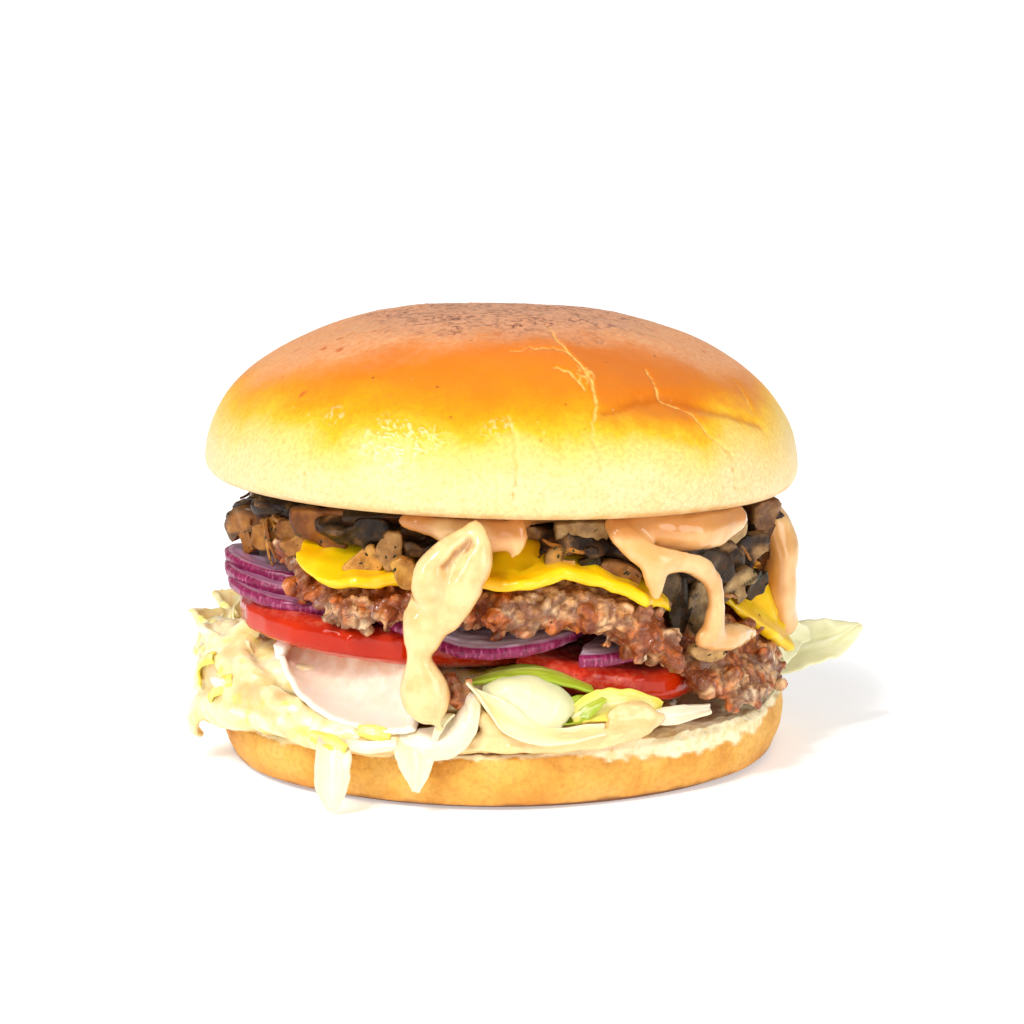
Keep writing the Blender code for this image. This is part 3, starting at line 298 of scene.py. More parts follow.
def plus(tree, first, second):
    return reckoned(tree, "ADD", first, second)


def spanned(tree, value, low, high, toLow=0.0, toHigh=1.0):
    # a socket or a painted value, taken from one span of numbers to another
    value = painted(tree, value) if isinstance(value, str) else value
    return addNode(tree, "MapRange", {"Value": value, "From Min": low, "From Max": high,
                                      "To Min": toLow, "To Max": toHigh}).outputs[0]


def ramp(tree, value, stops):
    node = addNode(tree, "ValToRGB", {"Fac": value})
    marks = node.color_ramp.elements
    while len(marks) < len(stops):
        marks.new(0.5)
    for mark, (position, shade) in zip(marks, stops):
        mark.position = position
        mark.color = colour(*shade)
    return node.outputs["Color"]


def blended(tree, amount, first, second):
    # each end is a socket or a screen colour
    ends = [end if isinstance(end, bpy.types.NodeSocket) else colour(*end) for end in (first, second)]
    return addNode(tree, "Mix", {0: amount, 6: ends[0], 7: ends[1]}, data_type="RGBA").outputs[2]


def bumped(tree, height, depth, under=None):
    inputs = {"Height": height, "Strength": 1.0, "Distance": depth * mm}
    if under:
        inputs["Normal"] = under
    return addNode(tree, "Bump", inputs).outputs[0]


def heightOf(tree, lean=0.0):
    # height over the table in millimetres, with the layer's own lean to the right taken out
    parts = addNode(tree, "SeparateXYZ", {"Vector": objectPlace(tree)})
    tilted = times(tree, parts.outputs["X"], lean)
    return reckoned(tree, "DIVIDE", plus(tree, parts.outputs["Z"], tilted), mm)


# bun crown

crownValues = {
    "segments": 520,
    "rings": 184,
    "finerInFront": 0.4,
    # shares of the ball from its lowest point: the cut face, the lip and the dome
    "cutEnd": 0.12,
    "lipSpan": 0.07,
    "domeStart": 0.19,
    "domeSpan": 0.81,
    "radius": 60.6,
    "widest": 59.0,
    "rise": 32.0,
    "roundness": 2.1,
    "cutHeight": 56.0,
    "cutSlope": -0.026,
    "leanShare": 0.6,
    "inset": 2.6,
    "creaseDepth": 0.7,
    "creaseWidth": 0.3,
    "foldDepth": 0.6,
    "foldWidth": 1.5,
    "wrinkleHeight": 0.3,
    "flakeHeight": 0.25,
    "flaked": ((16.0, -41.5, 81), (4, 6, 4.5)),  # centre and half sizes
    "highest": 90.3,
    # thin cracks in the crust: angle and height of their points
    "creases": [
        [(-67.3, 88.5), (-69.5, 86.8), (-69.2, 85.7), (-68.6, 83.7), (-68.0, 81.8), (-68.4, 79.4),
         (-69.1, 76.9), (-70.9, 73.6), (-72.4, 70.3), (-71.8, 67.7), (-71.8, 64.6)],
        [(-86.9, 84.9), (-79.0, 85.4), (-71.4, 85.0), (-68.1, 84.0)],
        [(-75.9, 82.7), (-73.3, 81.9), (-71.7, 80.8), (-70.4, 78.6)],
        [(-50.3, 81.4), (-51.2, 79.8), (-52.4, 77.8), (-52.0, 75.8), (-48.7, 75.2), (-47.0, 74.0),
         (-46.6, 71.3), (-44.9, 68.5), (-42.7, 66.1), (-42.2, 62.6), (-41.3, 57.6)],
        [(-19.3, 77.2), (-22.6, 74.7), (-25.5, 71.7)],
        [(-88.2, 74.8), (-87.3, 72.3), (-87.1, 68.9), (-87.0, 64.5), (-87.6, 60.0)],
        [(-128, 71.5), (-126.5, 67.0), (-127, 63.0)],
        [(62, 84.0), (66, 79.0), (63, 73.0), (66, 66.0)],
        [(118, 86.0), (123, 80.5), (121, 74.0), (126, 68.0)],
        [(10, 80.0), (14, 74.0), (12, 68.0)],
    ],
    # the line where the crust folds in at the right; its darkness is painted shade
    "shadedFoldLine": [(-68.0, 74.6), (-59.4, 75.8), (-52.6, 76.0), (-46.6, 74.9), (-40.3, 73.5), (-33.0, 71.6),
                 (-26.0, 69.0)],
    # angle, and the height above which a pale painted sheen covers the crust there
    "paintedSheen": [(-180, 77), (-160, 77), (-140, 81), (-122, 85.0), (-100, 87.0), (-75, 87.4), (-55, 86.6),
              (-40, 83.5), (-25, 79), (0, 76), (40, 80), (90, 84), (140, 80), (180, 77)],
    # browner spots: centre and size
    "spots": [((-31.8, -17.2, 85.8), 1.1), ((-34.7, -20.4, 84.1), 1.3), ((-31.1, -25.0, 84.2), 1.4),
              ((-42.7, -24.6, 79.1), 0.8), ((-37.6, -36.1, 76.7), 1.1), ((-40.5, -12.1, 83.3), 1.2),
              ((-24.7, -19.6, 87.2), 0.9), ((-0.3, -29.0, 87.5), 1.4), ((30.0, 22.0, 84.0), 1.0),
              ((-12.0, 34.0, 84.6), 0.9), ((41.0, -8.0, 82.0), 0.8), ((2.0, 42.0, 80.0), 1.2)],
    # glossy wrinkled patches: centre and half sizes
    "wrinkles": [((-18.9, -55, 69.6), (13, 11, 7.5), 1.0), ((-30.3, -46.3, 73.4), (4, 4, 3.5), 0.8),
                 ((-0.4, -55, 72.6), (5, 5, 4), 0.7), ((-47.9, -36, 65.5), (4, 5, 5), 0.6),
                 ((30, 49, 70), (10, 9, 6), 0.8), ((-35, 42, 74), (8, 8, 5), 0.7)],
}


def crownRelief(angle, rise):
    wobble = 0.5 * np.sin(np.radians(3 * angle + 40)) + 0.35 * np.sin(np.radians(5 * angle))
    fold = lobe(angle, -50, 26) * lobe(rise, 31, 7)
    swell = lobe(angle, -55, 46) * lobe(rise, 12, 14)
    shoulder = lobe(angle, -40, 30) * lobe(rise, 62, 16)
    wobble = wobble * np.cos(np.radians(rise))
    return wobble + 0.9 * (swell + shoulder) - 1.1 * fold - 0.7 * lobe(rise, 90, 22)


def makeCrown():
    v = crownValues
    deselectAll()
    bpy.ops.mesh.primitive_uv_sphere_add(segments=v["segments"], ring_count=v["rings"], radius=1.0)
    crown = bpy.context.active_object
    crown.name = "bunCrown"
    ball = pointsOf(crown) * mm
    angle = np.degrees(np.arctan2(ball[:, 1], ball[:, 0]))
    angle -= np.degrees(v["finerInFront"]) * np.sin(np.radians(angle + 90))
    share = (np.degrees(np.arcsin(np.clip(ball[:, 2], -1, 1))) + 90) / 180
    flat = np.clip(share / v["cutEnd"], 0, 1)
    lip = np.clip((share - v["cutEnd"]) / v["lipSpan"], 0, 1)
    rise = np.clip((share - v["domeStart"]) / v["domeSpan"], 0, 1) * 90
    turn = np.radians(rise)
    power = 2 / v["roundness"]
    out = crownRelief(angle, rise)
    radius = v["radius"] * np.cos(turn) ** power + out * np.cos(turn)
    height = v["widest"] + v["rise"] * np.sin(turn) ** power + out * np.sin(turn)
    height += v["cutSlope"] * (radius * np.cos(np.radians(angle))) * v["leanShare"]
    edge = v["radius"] - v["inset"]
    lipOut = edge + (radius - edge) * np.sin(lip * np.pi / 2)
    low = share < v["domeStart"]
    radius = np.where(low, np.where(share < v["cutEnd"], edge * flat, lipOut), radius)
    x, y = radius * np.cos(np.radians(angle)), radius * np.sin(np.radians(angle))
    cutFace = v["cutHeight"] + v["cutSlope"] * x
    side = v["widest"] + v["cutSlope"] * x * v["leanShare"]
    height = np.where(low, cutFace + (side - cutFace) * (1 - np.cos(lip * np.pi / 2)), height)
    points = np.stack([x, y, height], axis=1)
    movePoints(crown, points)
    normals = normalsOf(crown)
    dome = ease((share - 0.15) / 0.05)
    # how steeply the crust runs at each height, to measure along it
    level = np.clip((points[:, 2] - v["widest"]) / v["rise"], 0.03, 0.97)
    steep = (1 - level ** v["roundness"]) ** (1 / v["roundness"])
    steep = (v["radius"] / v["rise"]) * (level / steep) ** 1.1
    reach = reachOf(points)

    def alongCrust(line, wander):
        # distance to a line on the crust, smaller where the line is widest
        run = smoothPath([(spotAngle, spotHeight, 0) for spotAngle, spotHeight in line], 14)
        nearest = np.full(len(points), 99.0)
        for i, (spotAngle, spotHeight, rest) in enumerate(run):
            spotAngle += wander * noise.noise(Vector((spotAngle, spotHeight, 3)) / 1.6)
            spotHeight += wander * noise.noise(Vector((spotAngle, spotHeight, 9)) / 1.4)
            taper = 0.45 + 0.55 * math.sin(math.pi * min(max(i / (len(run) - 1), 0.04), 0.96))
            turn = np.radians((angle - spotAngle + 180) % 360 - 180) * reach
            rise = (points[:, 2] - spotHeight) * np.sqrt(1 + np.minimum(steep, 4) ** 2)
            nearest = np.minimum(nearest, np.hypot(turn, rise) / taper ** 0.5)
        return nearest

    # cracks: near a crack's line the crust sinks
    nearest = np.full(len(points), 99.0)
    for line in v["creases"]:
        nearest = np.minimum(nearest, alongCrust(line, 0.5))
    nearest += 0.12 * waves(points, 1.2, 14)
    crease = np.exp(-(np.maximum(nearest, 0) / v["creaseWidth"]) ** 2)
    shadedFoldLine = alongCrust(v["shadedFoldLine"], 0.4)
    fold = np.exp(-(shadedFoldLine / v["foldWidth"]) ** 2)
    centre, size = v["flaked"]
    torn = ease(1 - np.linalg.norm((points - np.array(centre)) / np.array(size), axis=1))
    flaked = torn * ease(1 - 4 * np.abs(waves(points, 1.7, 15)))
    flaked += np.exp(-((nearest - 1.0) / 0.4) ** 2) * 0.5 * torn
    uneven = 0.3 * waves(points, 17, 1) + 0.07 * waves(points, 4.2, 2)
    wrinkled = sum(share * ease(1.2 - np.linalg.norm((points - np.array(centre)) / np.array(size), axis=1))
                   for centre, size, share in v["wrinkles"])
    drift = np.stack([waves(points, 3.4, k) for k in (41, 42, 43)], axis=1)
    wandering = points * np.array([1, 1, 1.9]) + 1.5 * drift
    puckers = ease(1 - 4 * np.abs(waves(wandering, 1.6, 4))) * ease(0.9 + 2.2 * waves(points, 2.3, 44))
    crust = ease((points[:, 2] - 84) / 5)
    relief = uneven + v["wrinkleHeight"] * wrinkled * puckers + crust * 0.14 * waves(points, 1.3, 6)
    relief += v["flakeHeight"] * flaked
    relief -= v["foldDepth"] * fold + v["creaseDepth"] * crease * (0.8 + 0.5 * waves(points, 1.1, 9))
    points += normals * (relief * dome)[:, None]
    points[:, 2] += np.where(share < 0.11, 0.18 * waves(points, 1.6, 11), 0)
    points[:, 2] = np.minimum(points[:, 2], v["highest"])
    movePoints(crown, points)
    paintValue(crown, "crease", np.maximum(crease, 0.6 * flaked) * dome)
    # the fold line carries painted shade
    paintValue(crown, "shadedFoldLine", np.exp(-(shadedFoldLine / 1.0) ** 2) * dome)
    # where a pale sheen is painted on the crust
    sheenAngles, sheenHeights = zip(*v["paintedSheen"])
    above = points[:, 2] - np.interp(angle, sheenAngles, sheenHeights)
    above = above + 1.6 * waves(points, 7, 51) + 0.9 * waves(points, 2.2, 52)
    paintValue(crown, "paintedSheen", ease(0.5 + above / 7))
    paintValue(crown, "wrinkled", wrinkled)
    paintValue(crown, "glint", wrinkled * puckers)
    # right of the main crack the crust baked browner
    main = np.array(v["creases"][0][::-1])
    beyond = angle - np.interp(points[:, 2], main[:, 1], main[:, 0])
    paintValue(crown, "baked", ease(beyond / 1.6 + 0.3) * (1 - ease((angle - 30) / 60)))
    ragged = 0.5 * waves(points, 1.0, 71)
    spots = 0
    for spot, size in v["spots"]:
        spots += np.exp(-(np.linalg.norm(points - np.array(spot), axis=1) / size + ragged) ** 2)
    paintValue(crown, "spots", spots)
    paintValue(crown, "cutFace", 1 - ease((share - 0.105) / 0.03))
    return crown


def makeCrownMaterial():
    material, tree, shader = startMaterial(
        "toastedCrust", Roughness=0.42, Subsurface_Weight=0.1, Subsurface_Scale=0.0015, Specular_IOR_Level=0.3,
        Coat_Weight=0.04, Coat_Roughness=0.2, Sheen_Weight=0.12, Sheen_Roughness=0.4,
        Sheen_Tint=(1.0, 0.8, 0.62, 1.0), Specular_Tint=(1.0, 0.66, 0.34, 1.0),
        Subsurface_Radius=(1.0, 0.6, 0.3))
    height = heightOf(tree, 0.0156)
    drift = spanned(tree, cloud(tree, 16, 3), 0.3, 0.7, -2.4, 2.4)
    fine = spanned(tree, cloud(tree, 2.6, 4, 0.6, stretch=(1, 1, 0.45)), 0.3, 0.7, -0.6, 0.6)
    level = plus(tree, height, plus(tree, drift, fine))
    bands = ramp(tree, spanned(tree, level, 55, 92), [
        (0.0, (240, 218, 166)),
        (0.2, (242, 220, 158)),
        (0.35, (243, 212, 116)),
        (0.44, (244, 190, 40)),
        (0.53, (242, 160, 0)),
        (0.66, (234, 132, 0)),
        (0.8, (228, 118, 0)),
        (0.9, (216, 116, 30)),
        (0.97, (210, 128, 78)),
    ])
    # the part right of the main crack baked browner
    rightness = times(tree, painted(tree, "baked"), spanned(tree, level, 71.5, 76, 0.0, 0.62))
    browner = blended(tree, rightness, bands, (204, 104, 22))
    grainy = spanned(tree, cloud(tree, 0.9, 3, 0.7), 0.4, 0.66, 0.0, 0.3)
    browner = blended(tree, grainy, browner, (206, 116, 30))
    # painted shade darkens the crust along the fold line
    browner = blended(tree, times(tree, painted(tree, "shadedFoldLine"), 0.6), browner, (188, 92, 8))
    # painted sheen: a pale pinkish veil on the upper crust, set by angle round the bun
    sheenNoise = spanned(tree, cloud(tree, 1.1, 4, 0.7), 0.36, 0.6, 0.3, 0.75)
    sheenShare = times(tree, painted(tree, "paintedSheen"), sheenNoise)
    browner = blended(tree, sheenShare, browner, (240, 182, 132))
    browner = blended(tree, spanned(tree, "spots", 0.35, 0.8, 0.0, 0.8), browner, (208, 96, 20))
    # the flat top is mottled dark where it touched the next bun
    uneven = plus(tree, height, spanned(tree, cloud(tree, 9, 4, 0.65), 0.3, 0.7, -1.6, 1.6))
    topward = spanned(tree, uneven, 86.4, 88.8)
    mottle = times(tree, spanned(tree, cloud(tree, 1.5, 5, 0.75), 0.46, 0.6),
                  spanned(tree, cloud(tree, 7, 3, 0.6), 0.38, 0.56, 0.35, 1.0))
    dulled = blended(tree, times(tree, topward, 0.75), browner, (226, 158, 118))
    topped = blended(tree, times(tree, mottle, topward), dulled, (112, 50, 32))
    # crack floors are pale crumb
    crumb = ramp(tree, spanned(tree, height, 62, 80), [(0.0, (222, 176, 104)), (0.5, (252, 206, 112))])
    cracked = blended(tree, spanned(tree, "crease", 0.2, 0.8, 0.0, 0.9), topped, crumb)
    # a few dark specks and pale dots
    specks = spanned(tree, cells(tree, 7.0), 0.065, 0.03)
    spotted = blended(tree, times(tree, specks, spanned(tree, level, 66, 80, 0.15, 0.7)), cracked,
                      (120, 56, 24))
    dots = spanned(tree, cells(tree, 4.1), 0.07, 0.03, 0.0, 0.6)
    spotted = blended(tree, times(tree, dots, spanned(tree, level, 82, 66)), spotted, (255, 240, 196))
    spotted = blended(tree, spanned(tree, "glint", 0.2, 0.9, 0.0, 0.5), spotted, (255, 248, 214))
    pallor = spanned(tree, cloud(tree, 5.5, 2, 0.5), 0.44, 0.66, 0.0, 0.22)
    spotted = blended(tree, times(tree, pallor, spanned(tree, level, 72, 62)), spotted, (243, 196, 108))
    # toasted line at the lower edge and the pale cut face
    edge = times(tree, spanned(tree, height, 57.4, 56.4), spanned(tree, cloud(tree, 5), 0.4, 0.6, 0.2, 0.8))
    edged = blended(tree, edge, spotted, (214, 160, 90))
    final = blended(tree, painted(tree, "cutFace"), edged, (238, 206, 150))
    plug(shader, Base_Color=final)
    rough = spanned(tree, cloud(tree, 9, 3), 0.3, 0.7, 0.36, 0.56)
    rough = plus(tree, rough, spanned(tree, "cutFace", 0, 1, 0, 0.4))
    rough = reckoned(tree, "SUBTRACT", rough, spanned(tree, "wrinkled", 0, 1, 0, 0.2))
    plug(shader, Roughness=rough)
    pores = bumped(tree, cloud(tree, 0.8, 3, 0.6), 0.05)
    leather = bumped(tree, cloud(tree, 2.4, 4, 0.6, 0.5), 0.1, pores)
    plug(shader, Normal=leather)
    return material


finishPiece(makeCrown(), makeCrownMaterial(), "bun", "bun_crown")
print("crown done")


# bun heel

heelValues = {
    "segments": 420,
    "radius": 58.2,
    "height": 11.3,
    "slope": 0.028,
    "profile": [(0.0, 0.0), (30.0, 0.0), (53.5, 0.0), (56.3, 0.1), (57.6, 0.34), (58.2, 0.62), (57.9, 0.9),
                (57.0, 0.99), (55.6, 1.0), (50.0, 1.0), (0.0, 1.0)],
    "steps": [6, 10, 8, 9, 9, 9, 5, 7, 12, 12],
}


def makeHeel():
    v = heelValues
    rows = []
    for i, steps in enumerate(v["steps"]):
        a, b = v["profile"][i], v["profile"][i + 1]
        for k in range(steps):
            t = k / steps
            rows.append((a[0] + (b[0] - a[0]) * t, a[1] + (b[1] - a[1]) * t, i + t))
    rows = rows[1:]
    deselectAll()
    bpy.ops.mesh.primitive_uv_sphere_add(segments=v["segments"], ring_count=len(rows) + 1, radius=1.0)
    heel = bpy.context.active_object
    heel.name = "bunHeel"
    ball = pointsOf(heel) * mm
    angle = np.arctan2(ball[:, 1], ball[:, 0])
    row = (np.degrees(np.arcsin(np.clip(ball[:, 2], -1, 1))) + 90) / 180 * (len(rows) + 1) - 1
    row = np.clip(np.round(row), -1, len(rows)).astype(int)
    table = np.array([(0.0, 0.0, 0.0)] + rows + [(0.0, 1.0, 10.0)])
    radius, share, stage = table[row + 1].T
    degrees = np.degrees(angle)
    wobble = 0.5 * np.sin(np.radians(3 * degrees + 70)) + 0.5 * np.sin(np.radians(7 * degrees))
    radius = radius + wobble * ease(share / 0.15) * ease((radius - 20) / 30)
    x, y = radius * np.cos(angle), radius * np.sin(angle)
    points = np.stack([x, y, (v["height"] + v["slope"] * x) * share], axis=1)
    # the cut face is torn crumb, its outer rim ragged
    rim = ease((stage - 6.0) / 1.0)
    ragged = waves(points, 5.0, 3) + 0.6 * waves(points, 1.7, 5) + 0.35 * waves(points, 0.9, 8)
    outward = np.stack([np.cos(angle), np.sin(angle), 0 * angle], axis=1)
    lip = np.exp(-((stage - 7.4) / 0.9) ** 2)
    points[:, 2] += np.where(radius > 20, rim * ragged * 0.62, 0) + lip * 0.35 * waves(points, 2.4, 7)
    points += outward * (lip * ragged * 0.55)[:, None]
    side = ease((stage - 2.4) / 1.5) * (1 - rim)
    points += outward * (side * (0.22 * waves(points, 9, 12) + 0.07 * waves(points, 2.2, 13)))[:, None]
    points[:, 2] = np.maximum(points[:, 2], 0)
    movePoints(heel, points)
    torn = 1.05 * lobe(degrees, -48, 46) + 0.25
    bare = stage - 6.35 + torn + 0.55 * waves(points, 3.2, 21) + 0.25 * waves(points, 1.1, 22)
    paintValue(heel, "crumb", ease(bare / 0.3))
    paintValue(heel, "foot", 1 - ease((stage - 2.6 + 0.3 * waves(points, 4, 23)) / 0.9))
    return heel


def makeHeelMaterial():
    material, tree, shader = startMaterial(
        "heelCrust", Roughness=0.6, Subsurface_Weight=0.1, Subsurface_Scale=0.0015, Specular_IOR_Level=0.25,
        Subsurface_Radius=(1.0, 0.6, 0.3))
    patchy = cloud(tree, 14, 3, 0.55)
    tan = ramp(tree, patchy, [(0.3, (242, 192, 104)), (0.5, (234, 174, 76)), (0.68, (210, 140, 48))])
    fine = spanned(tree, cloud(tree, 1.1, 4, 0.65), 0.42, 0.7, 0.0, 0.4)
    grained = blended(tree, fine, tan, (176, 112, 48))
    lower = spanned(tree, heightOf(tree), 5.5, 1.0, 0.0, 0.35)
    shaded = blended(tree, lower, grained, (196, 126, 54))
    footed = blended(tree, spanned(tree, "foot", 0.25, 0.9, 0.0, 0.85), shaded, (112, 60, 26))
    crumb = ramp(tree, cloud(tree, 2.0, 4, 0.6), [(0.35, (244, 218, 158)), (0.55, (252, 238, 196))])
    final = blended(tree, painted(tree, "crumb"), footed, crumb)
    plug(shader, Base_Color=final)
    holes = spanned(tree, cells(tree, 1.3), 0.05, 0.4)
    pores = bumped(tree, holes, 0.14)
    plug(shader, Normal=bumped(tree, cloud(tree, 1.2, 4, 0.65), 0.22, pores))
    return material


finishPiece(makeHeel(), makeHeelMaterial(), "bun", "bun_heel")
print("heel done")


# beef

beefValues = {
    "seed": 8,
    "voxel": 0.66,
    "smoothing": 1,
    "chunks": 520,       # crumbs of mince that stand out round the rim
    "scraps": [(-9.0, -55.6, 24.6, 1.5), (-7.6, -56.2, 23.0, 1.7), (-6.6, -56.6, 21.0, 1.5),
               (-8.4, -56.6, 21.6, 1.3), (-5.8, -56.0, 24.2, 1.1)],
    # white crumbs of fat: centre and size
    "crumbs": [((25.8, -51.6, 35.6), 1.1), ((27.4, -51.4, 28.4), 0.9), ((-20.5, -52.8, 32.5), 0.7),
               ((2.0, -56.0, 31.0), 0.7)],
    "lump": 3.4,
    "lumpHeight": 0.6,
    "grain": 1.5,
    "grainHeight": 0.5,
    "tear": 1.0,
    "fine": 0.9,
    "fineHeight": 0.45,
    "swell": 0.6,
}


def makeBeef():
    v = beefValues
    draw = random.Random(v["seed"])
    beef = copyOfNode("beef_patty", "beefPatty")
    points, normals = pointsOf(beef), normalsOf(beef)
    rim = [i for i in range(len(points)) if math.hypot(points[i][0], points[i][1]) > 46]
    stands = []
    for i in range(v["chunks"]):
        spot = draw.choice(rim)
        size = [draw.uniform(0.6, 1.9) for axis in range(3)]
        turn = Matrix.Rotation(draw.uniform(0, 6.28), 4, "Z")
        turn = turn @ Matrix.Rotation(draw.uniform(0, 3.14), 4, "X")
        place = Vector(points[spot]) + Vector(normals[spot]) * draw.uniform(-0.6, 0.5)
        place += Vector([draw.uniform(-1.6, 1.6) for axis in range(3)])
        stands.append(Matrix.Translation(place) @ turn @ stretched(size))
    for x, y, z, size in v["scraps"]:
        stands.append(Matrix.Translation((x, y, z)) @ stretched((size, size * 0.8, size * 1.2)))
    chunks = copiesOf(addBlob("chunk", 2), stands, "chunks")
    beef = remeshed(joinPieces([beef, chunks], "beefPatty"), v["voxel"], v["smoothing"])
    points, normals = pointsOf(beef), normalsOf(beef)
    bent = points + 1.5 * np.stack([waves(points, 3.4, s) for s in (1, 2, 3)], axis=1)
    lump = lumps(bent, v["lump"], 1)
    grain = lumps(bent, v["grain"], 5)
    relief = v["swell"] + v["lumpHeight"] * (lump - 0.5) + v["grainHeight"] * (grain - 0.4)
    relief += v["tear"] * waves(bent, 5.5, 4) + v["fineHeight"] * waves(points, v["fine"], 7)
    points += normals * relief[:, None]
    movePoints(beef, points)
    crumbs = sum(np.exp(-(np.linalg.norm(points - np.array(spot), axis=1) / size) ** 4)
                 for spot, size in v["crumbs"])
    paintValue(beef, "crumb", crumbs)
    paintValue(beef, "lump", lump)
    paintValue(beef, "grain", grain)
    return beef


def makeBeefMaterial():
    material, tree, shader = startMaterial(
        "friedBeef", Roughness=0.45, Specular_IOR_Level=0.3, Coat_Weight=0.7, Coat_Roughness=0.05,
        Specular_Tint=(1.0, 0.8, 0.6, 1.0))
    patch = cloud(tree, 5, 4, 0.65, 0.3)
    raw = ramp(tree, patch, [(0.32, (204, 128, 68)), (0.45, (228, 166, 106)), (0.56, (240, 194, 142)),
                             (0.7, (250, 222, 182))])
    seared = spanned(tree, cloud(tree, 9, 4, 0.6, 0.3), 0.47, 0.56)
    browned = blended(tree, seared, raw, (204, 104, 36))
    grains = spanned(tree, "grain", 0.2, 0.8, 0.0, 0.6)
    lit = blended(tree, times(tree, grains, spanned(tree, cloud(tree, 3), 0.45, 0.6)), browned,
                  (226, 186, 150))
    # painted shade: the crevices between lumps and between grains are darkened
    pitShade = spanned(tree, "lump", 0.3, -0.15, 0.0, 0.75)
    pitShaded = blended(tree, pitShade, lit, (104, 38, 12))
    crackShade = spanned(tree, "grain", 0.15, -0.2, 0.0, 0.5)
    cracked = blended(tree, crackShade, pitShaded, (104, 48, 22))
    redder = spanned(tree, cloud(tree, 7, 3, 0.5), 0.58, 0.66, 0.0, 0.5)
    bloody = blended(tree, redder, cracked, (120, 40, 22))
    fatty = blended(tree, spanned(tree, "crumb", 0.3, 0.6), bloody, (250, 226, 184))
    plug(shader, Base_Color=fatty, Roughness=spanned(tree, cloud(tree, 2.2, 3), 0.35, 0.65, 0.25, 0.6))
    fibres = bumped(tree, cloud(tree, 0.55, 3, 0.65), 0.28)
    crumbly = bumped(tree, cloud(tree, 1.2, 3, 0.6, 0.4), 0.5, fibres)
    plug(shader, Normal=crumbly, Coat_Normal=bumped(tree, cloud(tree, 1.6, 2, 0.5, 0.3), 0.7))
    return material


beef = finishPiece(makeBeef(), makeBeefMaterial(), "beef", "beef_patty")
print("beef done", len(beef.data.polygons))


# cheese

cheeseValues = {
    "voxel": 0.72,
    "smoothing": 3,
    "thin": -0.25,
}


def makeCheese():
    v = cheeseValues
    cheese = remeshed(copyOfNode("cheese_slice", "meltedCheese"), v["voxel"], v["smoothing"])
    points, normals = pointsOf(cheese), normalsOf(cheese)
    hang = ease((reachOf(points) - 47) / 6)
    folds = waves(points * np.array([1, 1, 0.45]), 5.2, 3)
    points += normals * (v["thin"] + 0.3 * waves(points, 6.5, 3) + 0.12 * waves(points, 2.2, 5))[:, None]
    outward = points[:, :2] / np.linalg.norm(points[:, :2], axis=1)[:, None]
    points[:, :2] += outward * (hang * 0.9 * folds)[:, None]
    points[:, 2] += hang * (0.8 * waves(points * np.array([1, 1, 0.2]), 4.5, 8) - 0.2)
    angle = np.degrees(np.arctan2(points[:, 1], points[:, 0]))
    inner = ease((54 - reachOf(points)) / 9)
    points[:, 2] += inner * (3.4 * lobe(angle, -86, 26) + 2.4 * lobe(angle, -128, 18))
    movePoints(cheese, points)
    return cheese


def makeCheeseMaterial():
    material, tree, shader = startMaterial(
        "meltedCheese", Roughness=0.3, Subsurface_Weight=0.4, Subsurface_Scale=0.003, Specular_IOR_Level=0.3,
        Coat_Weight=0.4, Coat_Roughness=0.06, Subsurface_Radius=(1.0, 0.5, 0.08))
    yellow = ramp(tree, cloud(tree, 9, 3), [(0.35, (255, 210, 14)), (0.65, (255, 190, 0))])
    plug(shader, Base_Color=yellow, Normal=bumped(tree, cloud(tree, 3.0, 3), 0.14))
    return material


cheese = finishPiece(makeCheese(), makeCheeseMaterial(), "cheese", "cheese_slice")
print("cheese done", len(cheese.data.polygons))


# mushrooms: slices with gills, stems, dark fried caps, torn bits and strings of browned onion

